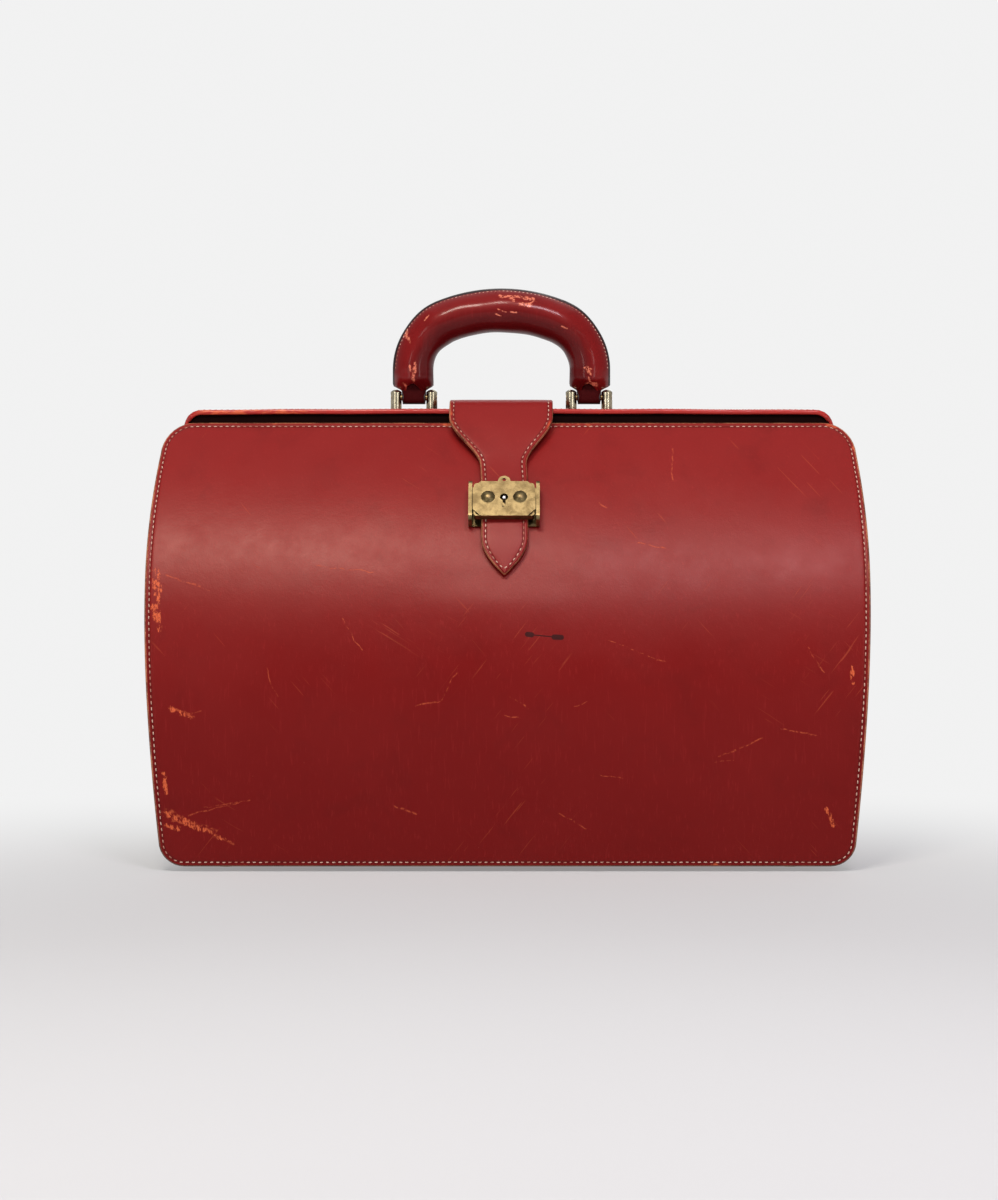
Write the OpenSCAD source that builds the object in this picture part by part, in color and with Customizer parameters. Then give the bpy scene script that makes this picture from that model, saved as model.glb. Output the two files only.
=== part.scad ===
// Doctor bag with a hinged steel mouth frame, a closing strap with a lock, and a padded handle.
// Millimetres, +Z up. X runs across the bag, the front faces -Y, the feet stand on z = 0.

/* [Body] */
// Widest width, across the sides
body_w = 454.8; // [420:0.1:490]
// Deepest depth, front to back
body_depth = 205; // [190:1:225]
// Height of the deepest part of the belly
belly_z = 95; // [80:1:110]
// Height of the widest part of the body
widest_z = 193; // [180:1:205]
// Height of the panels' lower edges
panel_bottom_z = 3; // [2:0.5:5]
// Height of the panels' upper edges
panel_top_z = 280.7; // [275:0.1:290]
// Depth of each panel's upper edge from the centre plane
mouth_half_depth = 18; // [16:0.5:20]
// Thickness of the front and rear leather
panel_t = 3; // [2:0.5:3]
// How far the panels' edges stand past the gussets and the bottom
edge_over = 7; // [5:0.5:8]
// Thickness of the gussets and the bottom leather
gusset_t = 2.5; // [2:0.5:3]

/* [Mouth frame] */
// Half length of the leather-covered frame
frame_half_w = 211; // [208:0.5:212]
// Height of the frame's top face
frame_top_z = 288.2; // [286:0.1:290]
// Height at which the panels fold when the mouth opens
fold_z = 195; // [190:1:200]
// Height of the pins that hinge the two jaws
hinge_z = 165; // [160:1:170]

/* [Strap and lock] */
// Width of the strap over the frame
strap_w = 67; // [60:1:70]
// Width of the strap under the lock
strap_neck_w = 29.5; // [26:0.5:31]
// Thickness of the doubled strap
strap_t = 3.6; // [3:0.2:4]
// Height of the strap's pointed tip
strap_tip_z = 184; // [178:1:190]
// Height of the lock's centre
lock_z = 226; // [222:1:230]
// Sideways place of the lock's centre
lock_x = -2.4; // [-5:0.1:5]
// Width of the lock's face plate
lock_w = 39.5; // [38:0.5:40]
// Height of the lock's face plate
lock_h = 25.5; // [24:0.5:27]

/* [Handle] */
// Sideways place of the handle's centre
handle_x = -5; // [-8:0.5:8]
// Half the distance between the handle's two ends
handle_half_w = 57.5; // [55:0.5:60]
// Height of the handle's centreline at the top
handle_top_z = 353.2; // [345:0.1:360]
// Thickness of the padded grip
grip_d = 28; // [24:1:30]
// Diameter of the bracket posts
post_d = 7.2; // [6:0.2:8]

/* [Hidden] */
$fn = 48;

red = "#7a1a1c";
dark_red = "#561215";
brass = "#b8a678";
steel = "#3a3a3c";
cloth = "#6b5236";
fibre = "#4a3a2c";

half_w_max = body_w / 2;
half_depth_max = body_depth / 2;
belly_rise = panel_top_z - belly_z;
belly_drop = belly_z - panel_bottom_z;
slope_run = half_depth_max - mouth_half_depth;
base_tuck = 8.5;            // how much shallower the body is at its base
slope_power = 2.2;
side_taper = 9.5;           // how much narrower the body is at its base, each side
top_taper = 3;
corner_low = 16;
corner_high = 20;
rim_t = 3.1;
rim_corner = 12;
steel_t = 2;
jaw_gap = 0.5;              // from the centre plane to each closed jaw's leather
slit = 0.2;                 // half the gap between parts that turn against each other
pin_r = 2;
leg_x = frame_half_w - rim_t - 0.2;   // outer face of the steel legs
rear_eye_x = leg_x - steel_t - 0.6;   // outer face of the rear legs' eyes, inside the front ones
foot_x = 178;
foot_y = 66;
handle_y = 9;
handle_pivot_z = 296.5;
handle_corner = 46;
corner_x = handle_half_w - handle_corner;
corner_z = handle_top_z - handle_corner;
seam_w = 3.9;
seam_t = 2.2;
handle_bore = 3;
grip_foot_z = 303;          // where the padded grip starts above its end eye
grip_shoulder_z = 307;
post_dx = 11.7;
post_top_z = 301.7;
bracket_half_w = 17;
bracket_t = 1.4;
bracket_rivet_dx = 5.2;
strap_hinge_y = -3;
strap_under_z = 291.2;      // the strap's inner face over the frame
strap_bend_r = 12;
strap_bend_y = 11.3;
strap_join_z = 283.3;       // where the strap starts to follow the panel's slope
strap_join_gap = 6.2;
lock_gap = 2.6;             // from the panel to the strap under the lock
tip_gap = 1.5;
strap_narrow_z = 250;
strap_wide_z = 278;
tip_length = 21;
case_front = 10.4;          // depths below are measured outwards from the panel
case_back = lock_gap + strap_t;
plate_t = 1.4;
rivet_dx = 10.1;
rivet_dz = 1.2;
gusset_low_top = hinge_z - 15;        // the gussets fold above this height
bottom_half_w = 190;
bottom_z = panel_bottom_z + edge_over;
board_z = bottom_z + gusset_t + 0.2;
board_t = 3;
board_half_w = 198;
board_half_d = 88;
foot_stem_r = 2;
stem_hole_r = foot_stem_r + 0.05;
washer_t = 0.9;
lining_t = 0.8;
lining_top_z = fold_z - 3;
web_top_z = 266;
web_mouth_y = 16;                     // the webs stop here, in front of the frame's legs
bar_half_w = 198;                     // half length of the frame's straight stiffeners
leg_foot_z = hinge_z + 23;            // where the leather covers end and the bare legs start
rim_foot_z = hinge_z + 20;
eye_r = 8;
pin_hole_r = pin_r + 0.05;
bracket_z = frame_top_z - rim_t;
bracket_half_d = 6;
post_cap_h = 1.6;
small_rivet_r = 1.5;
small_hole_r = small_rivet_r + 0.05;
rivet_head_r = 2.6;
eye_barrel_r = 4.4;
eye_half_w = 7.4;
tail_z = 246;
tail_rivet_z = 253.5;
tail_rivet_dx = 20;
strap_top_x = -4.9;                   // sideways place of the strap over the frame
strap_shift = 2.9;                    // how far it has moved sideways at the lock
strap_wide_end_z = 300;
base_rivet_dx = 10;
base_rivet_dz = 9.6;
base_rivet_r = 1;
strap_levels = concat(steps(strap_tip_z, strap_tip_z + tip_length, 8), [strap_narrow_z - 4],
    steps(strap_narrow_z, strap_wide_z, 9), [strap_wide_end_z]);
cut_corner = 5;
cheek_gap = 0.45;
cheek_t = 2.3;

// ---- profiles ----

function smooth(t) = let(c = min(1, max(0, t))) c * c * (3 - 2 * c);

// Half width of the body at height z.
function half_w(z) = half_w_max - (z < widest_z
    ? side_taper * pow((widest_z - z) / 170, 1.6) : top_taper * pow((z - widest_z) / 60, 2));

// Half depth of the body at height z, to the outside of the leather.
function depth(z) = z > belly_z
    ? half_depth_max - slope_run * pow((z - belly_z) / belly_rise, slope_power)
    : half_depth_max - base_tuck * pow((belly_z - z) / belly_drop, 2);

// Angle of the outer surface's normal above the horizontal.
function lean(z) = z > belly_z
    ? atan(slope_run * slope_power / belly_rise * pow((z - belly_z) / belly_rise, slope_power - 1))
    : -atan(2 * base_tuck * (belly_z - z) / (belly_drop * belly_drop));

// The point at height z of the side profile, moved outwards by d.
function profile_point(z, d) = [depth(z) + d * cos(lean(z)), z + d * sin(lean(z))];

function steps(a, b, n) = [for (i = [0:n]) a + (b - a) * i / n];

// The band between the profile moved by d0 and by d1, from height z0 to z1.
function band(z0, z1, n, d0, d1) = concat(
    [for (z = steps(z0, z1, n)) profile_point(z, d1)],
    [for (z = steps(z1, z0, n)) profile_point(z, d0)]);

function mirrored(points) = concat(points,
    [for (i = [len(points) - 1:-1:0]) [-points[i][0], points[i][1]]]);

// Front view of the body, drawn in by i.
function right_outline(i) = let(
        low = panel_bottom_z + corner_low, high = panel_top_z - corner_high,
        cx0 = half_w(low) - corner_low, cx1 = half_w(high) - corner_high)
    concat(
        [for (a = steps(-90, 0, 7)) [cx0 + (corner_low - i) * cos(a), low + (corner_low - i) * sin(a)]],
        [for (z = steps(low + 16, high - 6, 14)) [half_w(z) - i, z]],
        [for (a = steps(0, 90, 7)) [cx1 + (corner_high - i) * cos(a), high + (corner_high - i) * sin(a)]]);
function outline(i) = mirrored(right_outline(i));

// Front view of the mouth frame's outer edge, drawn in by i.
function frame_outline(i) = let(
        cx = frame_half_w - rim_corner, cz = frame_top_z - rim_corner, r = rim_corner - i)
    mirrored(concat([[frame_half_w - i, rim_foot_z]],
        [for (a = steps(0, 90, 8)) [cx + r * cos(a), cz + r * sin(a)]]));

// A rectangle with round corners.
function round_box(w, h, r, n = 6) = [for (q = [0:3]) for (i = [0:n]) let(a = 90 * q + 90 * i / n)
    [(q == 0 || q == 3 ? 1 : -1) * (w / 2 - r) + r * cos(a), (q < 2 ? 1 : -1) * (h / 2 - r) + r * sin(a)]];

// ---- helpers ----

// A side view, in Y and Z, made as long as x0 to x1.
module along_x(points, x0, x1) {
    translate([x0, 0, 0]) rotate([90, 0, 90]) linear_extrude(height = x1 - x0) polygon(points);
}

// A front view, in X and Z, made as deep as y0 to y1.
module along_y(points, y0, y1) {
    translate([0, y1, 0]) rotate([90, 0, 0]) linear_extrude(height = y1 - y0) polygon(points);
}

module block(low, high) {
    translate(low) cube(high - low);
}

module rod_x(x0, x1, r) {
    translate([x0, 0, 0]) rotate([0, 90, 0]) cylinder(h = x1 - x0, r = r);
}

module rod_y(y0, y1, r) {
    translate([0, y1, 0]) rotate([90, 0, 0]) cylinder(h = y1 - y0, r = r);
}

// A shallow dome that faces outwards along -Y, with its flat back at y = 0.
module dome(r, h) {
    ball = (r * r + h * h) / (2 * h);
    intersection() {
        translate([0, ball - h, 0]) sphere(ball);
        rod_y(-h, 0, r);
    }
}

// Everything for the rear is the front, mirrored.
module side(s) {
    mirror([0, s > 0 ? 1 : 0, 0]) children();
}

// Puts children on the front slope at the lock: their -Y points out of the panel.
module at_lock() {
    translate([lock_x, -depth(lock_z), lock_z]) rotate([-lean(lock_z), 0, 0]) children();
}

module both_ends() {
    for (m = [0, 1]) mirror([m, 0, 0]) children();
}

// ---- leather body ----

module panel(z0, z1, n) {
    intersection() {
        mirror([0, 1, 0]) along_x(band(z0, z1, n, -panel_t, 0), -half_w_max, half_w_max);
        along_y(outline(0), -body_depth, 0);
    }
}

module front_panel() {
    color(red) panel(panel_bottom_z - 1, fold_z - slit, 20);
}

module rear_panel() {
    color(red) side(1) panel(panel_bottom_z - 1, fold_z - slit, 20);
}

module front_panel_upper() {
    color(red) difference() {
        panel(fold_z + slit, panel_top_z, 14);
        at_lock() base_rivet_holes();
    }
}

module rear_panel_upper() {
    color(red) side(1) panel(fold_z + slit, panel_top_z, 14);
}

// The leather strip that joins the panels round the sides and the bottom.
module strip(z0, z1) {
    inner = [for (z = steps(panel_bottom_z - 1, panel_top_z, 26)) profile_point(z, -panel_t - 0.05)];
    intersection() {
        difference() {
            along_y(outline(edge_over), -body_depth, body_depth);
            along_y(outline(edge_over + gusset_t), -body_depth - 1, body_depth + 1);
        }
        along_x(mirrored(inner), -half_w_max, half_w_max);
        block([-half_w_max, -body_depth, z0], [half_w_max, body_depth, z1]);
    }
}

module left_gusset() {
    color(red) intersection() {
        strip(0, gusset_low_top);
        block([-half_w_max, -body_depth, 0], [-bottom_half_w, body_depth, gusset_low_top]);
    }
}

module right_gusset() {
    color(red) intersection() {
        strip(0, gusset_low_top);
        block([bottom_half_w, -body_depth, 0], [half_w_max, body_depth, gusset_low_top]);
    }
}

module foot_places() {
    for (x = [-foot_x, foot_x], y = [-foot_y, foot_y]) translate([x, y, 0]) children();
}

module bottom_panel() {
    color(red) difference() {
        intersection() {
            strip(0, 40);
            block([-bottom_half_w, -body_depth, 0], [bottom_half_w, body_depth, 40]);
        }
        foot_places() cylinder(h = 40, r = stem_hole_r);
    }
}

module base_board() {
    color(fibre) difference() {
        block([-board_half_w, -board_half_d, board_z], [board_half_w, board_half_d, board_z + board_t]);
        foot_places() cylinder(h = 40, r = stem_hole_r);
    }
}

module foot() {
    cylinder(h = 4, r1 = 6, r2 = 8);
    translate([0, 0, 4]) cylinder(h = 2, r = 8);
    translate([0, 0, 6]) cylinder(h = bottom_z - 6, r = 6);
    cylinder(h = board_z + board_t + washer_t + 0.2, r = foot_stem_r);
}

module feet() {
    color(brass) foot_places() foot();
}

module foot_washers() {
    color(brass) foot_places() translate([0, 0, board_z + board_t]) difference() {
        cylinder(h = washer_t, r = 6);
        translate([0, 0, -1]) cylinder(h = 3, r = stem_hole_r);
    }
}

// A cloth-lined inner skin: both walls, both ends and the floor over the board.
module lining() {
    wall_out = -panel_t - 0.3;
    floor_z = board_z + board_t + washer_t + 0.5;
    end_in = edge_over + gusset_t + 0.3;
    color(cloth) {
        for (s = [-1, 1]) side(s) mirror([0, 1, 0])
            along_x(band(floor_z, lining_top_z, 14, wall_out - lining_t, wall_out),
                -board_half_w, board_half_w);
        intersection() {
            difference() {
                along_y(outline(end_in), -body_depth, body_depth);
                along_y(outline(end_in + lining_t), -body_depth - 1, body_depth + 1);
            }
            along_x(mirrored([for (z = steps(floor_z, lining_top_z, 14)) profile_point(z, wall_out)]),
                -half_w_max, half_w_max);
            block([-half_w_max, -body_depth, floor_z], [half_w_max, body_depth, gusset_low_top]);
        }
        block([-board_half_w - 2, -board_half_d - 2, floor_z],
            [board_half_w + 2, board_half_d + 2, floor_z + lining_t]);
    }
}

// ---- gusset webs, which fold with the jaws ----

module web(m) {
    mirror([m, 0, 0]) intersection() {
        strip(gusset_low_top + 2 * slit, web_top_z);
        block([0, -body_depth, gusset_low_top], [half_w_max, -web_mouth_y, web_top_z]);
    }
}

module left_gusset_front() {
    color(red) web(1);
}

module right_gusset_front() {
    color(red) web(0);
}

module left_gusset_rear() {
    color(red) side(1) web(1);
}

module right_gusset_rear() {
    color(red) side(1) web(0);
}

// ---- jaws of the mouth frame, drawn for the front ----

module frame_bar() {
    difference() {
        union() {
            along_y(frame_outline(rim_t + 0.2), -12, -2);
            intersection() {
                along_y(frame_outline(rim_t + 0.2), -14.5, -1);
                block([-frame_half_w, -20, 262], [frame_half_w, 0, frame_top_z]);
            }
        }
        along_y(frame_outline(rim_t + 0.2 + steel_t), -30, 1);
        block([-frame_half_w, -30, hinge_z], [frame_half_w, 1, leg_foot_z]);
    }
    block([-bar_half_w, -14.5, panel_top_z + 0.2], [bar_half_w, -12.5, bracket_z - steel_t]);
    block([-bar_half_w, -3, 270], [bar_half_w, -1, bracket_z - steel_t]);
}

// The front jaw's legs end in plain eyes round the hinge pins.
module front_frame() {
    color(steel) {
        frame_bar();
        both_ends() difference() {
            union() {
                along_x([[-12, leg_foot_z], [-12, hinge_z + 15], [-7.4, hinge_z - 3], [7.4, hinge_z + 3],
                    [-4.5, leg_foot_z]], leg_x - steel_t, leg_x);
                translate([0, 0, hinge_z]) rod_x(leg_x - steel_t, leg_x, eye_r);
            }
            translate([0, 0, hinge_z]) rod_x(leg_x - 10, leg_x + 1, pin_hole_r);
        }
    }
}

// The rear jaw's legs step inwards to slotted eyes, which give the pins their free path.
module rear_frame() {
    color(steel) difference() {
        union() {
            side(1) frame_bar();
            both_ends() {
                block([rear_eye_x - steel_t, 2, hinge_z + 17], [leg_x, 12, leg_foot_z]);
                difference() {
                    along_x([[2, leg_foot_z], [-7.6, hinge_z + 3], [-7.4, hinge_z - 4], [4, hinge_z - 8],
                        [15, hinge_z - 5], [17, hinge_z + 8], [12, leg_foot_z]],
                        rear_eye_x - steel_t, rear_eye_x);
                    translate([0, 0, hinge_z]) pin_path();
                }
            }
        }
        bracket_rivet_places() translate([0, 0, 270]) cylinder(h = 40, r = small_hole_r);
    }
}

module pin_path() {
    x0 = leg_x - 10;
    rod_x(x0, leg_x, 2.9);
    translate([0, 8, 2.9]) rod_x(x0, leg_x, 4);
    translate([0, 9.6, 3.6]) rod_x(x0, leg_x, 3);
    along_x([[1, -2.72], [9.36, -0.86], [6.64, 6.66], [-1, 2.72]], x0, leg_x);
}

module hinge_pins() {
    color(brass) both_ends() translate([0, 0, hinge_z]) {
        rod_x(leg_x - 7, leg_x + 0.5, pin_r);
        rod_x(leg_x - 7, leg_x - 5.2, 5);
        translate([leg_x + 0.1, 0, 0]) rotate([0, 0, 90]) dome(4.6, 2.4);
    }
}

// The leather that wraps a jaw: a lip along the top and a cover down each leg.
module rim() {
    difference() {
        union() {
            along_y(frame_outline(0), -15, -1);
            intersection() {
                along_y(frame_outline(0), -18, -jaw_gap);
                block([-frame_half_w, -20, panel_top_z + 0.3], [frame_half_w, 0, frame_top_z]);
            }
        }
        along_y(frame_outline(rim_t), -30, 1);
    }
}

module front_rim() {
    color(dark_red) rim();
}

module rear_rim() {
    color(dark_red) difference() {
        side(1) rim();
        post_places() {
            block([-bracket_half_w - 0.2, -bracket_half_d - 0.2, 280],
                [bracket_half_w + 0.2, bracket_half_d + 0.2, bracket_z + bracket_t + 0.1]);
            block([-9, -3, 280], [9, 3, frame_top_z - 0.7]);
            for (dx = [-post_dx, post_dx]) translate([dx, 0, 280]) cylinder(h = 20, r = post_d / 2 + 0.1);
        }
    }
}

// ---- handle brackets ----

module post_places() {
    for (s = [-1, 1]) translate([handle_x + s * handle_half_w, handle_y, 0]) children();
}

module handle_brackets() {
    color(brass) post_places() difference() {
        union() {
            block([-bracket_half_w, -bracket_half_d, bracket_z],
                [bracket_half_w, bracket_half_d, bracket_z + bracket_t]);
            for (dx = [-post_dx, post_dx]) translate([dx, 0, bracket_z]) {
                cylinder(h = post_top_z - bracket_z - post_cap_h, r = post_d / 2);
                translate([0, 0, post_top_z - bracket_z - post_cap_h]) rotate([-90, 0, 0])
                    dome(post_d / 2, post_cap_h);
            }
        }
        translate([0, 0, handle_pivot_z]) rod_x(-20, 20, pin_r + 0.02);
        for (dx = [-bracket_rivet_dx, bracket_rivet_dx]) translate([dx, 0, 280])
            cylinder(h = 20, r = small_hole_r);
    }
}

module bracket_rivet_places() {
    post_places() for (dx = [-bracket_rivet_dx, bracket_rivet_dx]) translate([dx, 0, 0]) children();
}

module bracket_rivets() {
    color(steel) bracket_rivet_places() {
        translate([0, 0, bracket_z + bracket_t]) cylinder(h = 0.8, r = rivet_head_r);
        translate([0, 0, bracket_z - 4]) cylinder(h = 6, r = small_rivet_r);
        translate([0, 0, bracket_z - 4]) cylinder(h = 1.6, r = rivet_head_r);
    }
}

module handle_pins() {
    color(brass) post_places() translate([0, 0, handle_pivot_z])
        rod_x(-post_dx - 3.4, post_dx + 3.4, pin_r);
}

// ---- handle ----

// Half of the handle's arch at radius r round its centreline: a leg, a corner and half the top.
module half_arch(r, foot_z) {
    translate([handle_half_w, 0, foot_z]) cylinder(h = corner_z - foot_z, r = r);
    corner_arc() translate([handle_corner, 0]) circle(r);
    translate([0, 0, handle_top_z]) rod_x(0, corner_x, r);
}

module corner_arc() {
    translate([corner_x, 0, corner_z]) rotate([90, 0, 0]) rotate_extrude(angle = 90) children();
}

module arch(r, foot_z) {
    translate([handle_x, handle_y, 0]) both_ends() half_arch(r, foot_z);
}

module handle_grip() {
    leg_r = grip_d / 2 - 1;
    color(dark_red) difference() {
        union() {
            arch(leg_r, grip_shoulder_z);
            translate([handle_x, handle_y, 0]) both_ends() translate([handle_half_w, 0, grip_foot_z])
                cylinder(h = grip_shoulder_z - grip_foot_z, r1 = leg_r - 4, r2 = leg_r);
            translate([handle_x, handle_y, handle_top_z]) rod_x(1 - corner_x, corner_x - 1, grip_d / 2);
        }
        arch(handle_bore, grip_foot_z - 1);
        outer_band(grip_d / 2 - seam_w - 0.1, 2 * seam_w, seam_t + 0.2, grip_shoulder_z);
    }
}

// A band along the outside of the arch, w wide and t thick, that starts r0 beyond the centreline.
module outer_band(r0, w, t, foot_z) {
    translate([handle_x, handle_y, 0]) both_ends() {
        corner_arc() translate([handle_corner + r0, -t / 2]) square([w, t]);
        block([handle_half_w + r0, -t / 2, foot_z], [handle_half_w + r0 + w, t / 2, corner_z]);
        block([0, -t / 2, handle_top_z + r0], [corner_x, t / 2, handle_top_z + r0 + w]);
    }
}

// The stitched flange that closes the grip's leather along the outside of the arch.
module handle_seam() {
    color(dark_red) outer_band(grip_d / 2 - seam_w, seam_w, seam_t, grip_shoulder_z + 0.1);
}

module handle_core() {
    color(steel) arch(handle_bore, handle_pivot_z + eye_barrel_r);
}

module handle_eyes() {
    color(steel) post_places() translate([0, 0, handle_pivot_z]) difference() {
        union() {
            rod_x(-eye_half_w, eye_half_w, eye_barrel_r);
            cylinder(h = 6.4, r = 3.8);
        }
        rod_x(-10, 10, pin_hole_r);
        translate([0, 0, eye_barrel_r]) cylinder(h = 5, r = handle_bore);
    }
}

// ---- strap ----

// Gap between the panel and the strap, square to the panel.
function strap_gap(z) = z < 205
    ? lock_gap - (lock_gap - tip_gap) * (205 - z) / tip_length
    : lock_gap + (strap_join_gap - lock_gap) * smooth((z - 245) / (strap_join_z - 245));

// Side view of the strap's path moved outwards by d, from the hinge over the frame and down the slope.
function strap_path(d, y0, z_end, n, gap) = concat(
    [[y0, strap_under_z + d]],
    [for (a = steps(0, 42, 6)) [strap_bend_y + (strap_bend_r + d) * sin(a),
        strap_under_z - strap_bend_r + (strap_bend_r + d) * cos(a)]],
    [for (z = steps(strap_join_z, z_end, n)) profile_point(z, d + (gap ? strap_gap(z)
        : strap_join_gap * smooth((z - 258) / (strap_join_z - 258)) + 0.3))]);

function reversed(points) = [for (i = [len(points) - 1:-1:0]) points[i]];

function strap_side(y0, z_end, n, gap) = concat(
    strap_path(strap_t, y0, z_end, n, gap), reversed(strap_path(0, y0, z_end, n, gap)));

// Front view of the strap: wide over the frame, an S-curved waist, and a pointed arch at the tip.
function strap_half_w(z) = z > strap_tip_z + tip_length
    ? strap_neck_w / 2 + (strap_w - strap_neck_w) / 2
        * smooth((z - strap_narrow_z) / (strap_wide_z - strap_narrow_z))
    : strap_neck_w / 2 * (1 - pow((strap_tip_z + tip_length - z) / tip_length, 1.8));
function strap_centre(z) = strap_top_x + strap_shift * smooth((strap_wide_z - z) / 50);
function strap_front() = concat(
    [for (z = strap_levels) [strap_centre(z) + strap_half_w(z), z]],
    [for (z = reversed(strap_levels)) [strap_centre(z) - strap_half_w(z), z]]);

module strap() {
    color(red) difference() {
        intersection() {
            mirror([0, 1, 0])
                along_x(strap_side(-strap_hinge_y + slit, strap_tip_z - 6, 26, true), -strap_w, strap_w);
            along_y(strap_front(), -body_depth, 0);
        }
        at_lock() rivet_places() rod_y(-20, 20, small_hole_r);
    }
}

module tail_rivet_places() {
    for (dx = [-tail_rivet_dx, tail_rivet_dx])
        translate([strap_top_x + dx, depth(tail_rivet_z), tail_rivet_z])
            rotate([lean(tail_rivet_z), 0, 0]) mirror([0, 1, 0]) children();
}

module strap_tail() {
    tail_h = strap_wide_end_z - tail_z;
    color(red) difference() {
        intersection() {
            along_x(strap_side(strap_hinge_y + slit, tail_z - 4, 14, false), -strap_w, strap_w);
            translate([strap_top_x, 0, strap_wide_end_z])
                along_y(round_box(strap_w, 2 * tail_h, 9), -30, body_depth);
        }
        tail_rivet_places() rod_y(-20, 20, small_hole_r);
    }
}

module strap_tail_rivets() {
    color(brass) tail_rivet_places() {
        translate([0, -strap_t - 0.45, 0]) dome(4.2, 2);
        rod_y(-strap_t - 1, -0.1, small_rivet_r);
    }
}

// ---- lock ----

module rivet_places() {
    for (dx = [-rivet_dx, rivet_dx]) translate([dx, 0, rivet_dz]) children();
}

module base_rivet_places() {
    for (x = [-base_rivet_dx, base_rivet_dx], z = [-base_rivet_dz, base_rivet_dz])
        translate([x, 0, z]) children();
}

module base_rivet_holes() {
    base_rivet_places() rod_y(-6, 8, base_rivet_r + 0.05);
}

// A flat plate with upright cheeks on both sides of the strap.
module lock_base() {
    cheek_in = lock_w / 2 + cheek_gap;
    cheek_out = cheek_in + cheek_t;
    color(brass) at_lock() difference() {
        union() {
            along_y(round_box(2 * cheek_out, lock_h + 3, 3), -1.3, -0.3);
            for (x = [-cheek_out, cheek_in]) translate([x, 0, 0]) intersection() {
                along_x(round_box(23, lock_h + 3, 3), 0, cheek_t);
                block([0, -20, -20], [5, -0.3, 20]);
            }
        }
        base_rivet_holes();
        block([cheek_in - 0.1, -9.3, -9.6], [cheek_in + 1.6, -6.7, -3.9]);
    }
}

module lock_base_rivets() {
    color(brass) at_lock() base_rivet_places() rod_y(-1.3, 5.6, base_rivet_r);
}

module lock_base_backing() {
    color(steel) at_lock() difference() {
        along_y(round_box(40, 26, 3), 3.6, 4.6);
        base_rivet_holes();
    }
}

// The box under the face plate, which holds the bolt.
module lock_case() {
    w = lock_w - 1.2;
    h = lock_h - 1.2;
    color(brass) at_lock() difference() {
        along_y(round_box(w, h, 2), -case_front, -case_back);
        along_y(round_box(w - 2.4, h - 2.4, 1.2), -case_front - 1, -case_back - 1);
        rivet_places() rod_y(-20, 0, small_rivet_r + 0.02);
        block([w / 2 - 2, -9.4, -9.2], [w / 2 + 1, -7, -3.8]);
    }
}

function cut_box(w, h, c) = [[w / 2, c - h / 2], [w / 2, h / 2 - c], [w / 2 - c, h / 2], [c - w / 2, h / 2],
    [-w / 2, h / 2 - c], [-w / 2, c - h / 2], [c - w / 2, -h / 2], [w / 2 - c, -h / 2]];

module lock_plate() {
    color(brass) at_lock() difference() {
        union() {
            along_y(cut_box(lock_w, lock_h, cut_corner), -case_front - plate_t, -case_front);
            translate([0, 0, lock_h / 2]) rod_y(-case_front - plate_t, -case_front, 4);
        }
        translate([0, 0, lock_h / 2 + 1.2]) rod_y(-20, 0, 1.2);
        rivet_places() rod_y(-20, 0, small_rivet_r + 0.02);
        translate([0, 0, 1]) rod_y(-20, 0, 2.6);
        block([-1.1, -20, -6.5], [1.1, 0, 1]);
    }
}

module lock_rivets() {
    color(brass) at_lock() rivet_places() {
        rod_y(-case_front - plate_t, -lock_gap + 0.9, small_rivet_r);
        translate([0, -case_front - plate_t, 0]) dome(4.4, 2.2);
    }
}

module strap_backing() {
    color(steel) at_lock() difference() {
        along_y(round_box(27, 20, 3), -lock_gap + 0.3, -lock_gap + 0.9);
        rivet_places() rod_y(-20, 0, small_rivet_r + 0.02);
    }
}

module keyhole_pin() {
    color(steel) at_lock() translate([0, 0, 1]) rod_y(-case_front - 1, -case_back - 1, 0.9);
}

// The sliding bolt, drawn back inside the case.
module lock_bolt() {
    color(steel) at_lock() {
        block([4, -9.2, -9], [lock_w / 2 - 1, -7.4, -4]);
        block([5, -10.1, -8], [9, -9.2, -5]);
    }
}

front_panel();
rear_panel();
left_gusset();
right_gusset();
bottom_panel();
base_board();
lining();
feet();
foot_washers();
front_panel_upper();
front_frame();
front_rim();
left_gusset_front();
right_gusset_front();
lock_base();
lock_base_rivets();
lock_base_backing();
hinge_pins();
rear_panel_upper();
rear_frame();
rear_rim();
left_gusset_rear();
right_gusset_rear();
handle_brackets();
bracket_rivets();
handle_pins();
strap_tail();
strap_tail_rivets();
strap();
lock_case();
lock_plate();
lock_rivets();
strap_backing();
keyhole_pin();
lock_bolt();
handle_grip();
handle_core();
handle_eyes();
handle_seam();
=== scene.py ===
import functools
import math
import random

import bmesh
import bpy
import numpy as np
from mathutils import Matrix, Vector


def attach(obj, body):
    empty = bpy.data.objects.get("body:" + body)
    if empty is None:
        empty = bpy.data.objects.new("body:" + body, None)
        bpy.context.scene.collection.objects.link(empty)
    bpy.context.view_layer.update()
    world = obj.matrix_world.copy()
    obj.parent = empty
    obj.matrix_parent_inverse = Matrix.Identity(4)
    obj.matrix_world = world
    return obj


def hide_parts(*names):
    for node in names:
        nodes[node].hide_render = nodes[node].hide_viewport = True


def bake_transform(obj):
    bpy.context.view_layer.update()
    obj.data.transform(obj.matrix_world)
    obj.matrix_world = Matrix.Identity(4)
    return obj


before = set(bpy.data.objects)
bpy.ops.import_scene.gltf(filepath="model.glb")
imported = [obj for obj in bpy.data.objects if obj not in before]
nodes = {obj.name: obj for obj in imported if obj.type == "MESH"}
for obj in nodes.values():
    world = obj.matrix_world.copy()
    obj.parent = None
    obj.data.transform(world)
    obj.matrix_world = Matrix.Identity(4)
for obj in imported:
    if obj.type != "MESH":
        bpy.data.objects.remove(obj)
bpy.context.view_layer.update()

MM = 0.001
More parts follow.
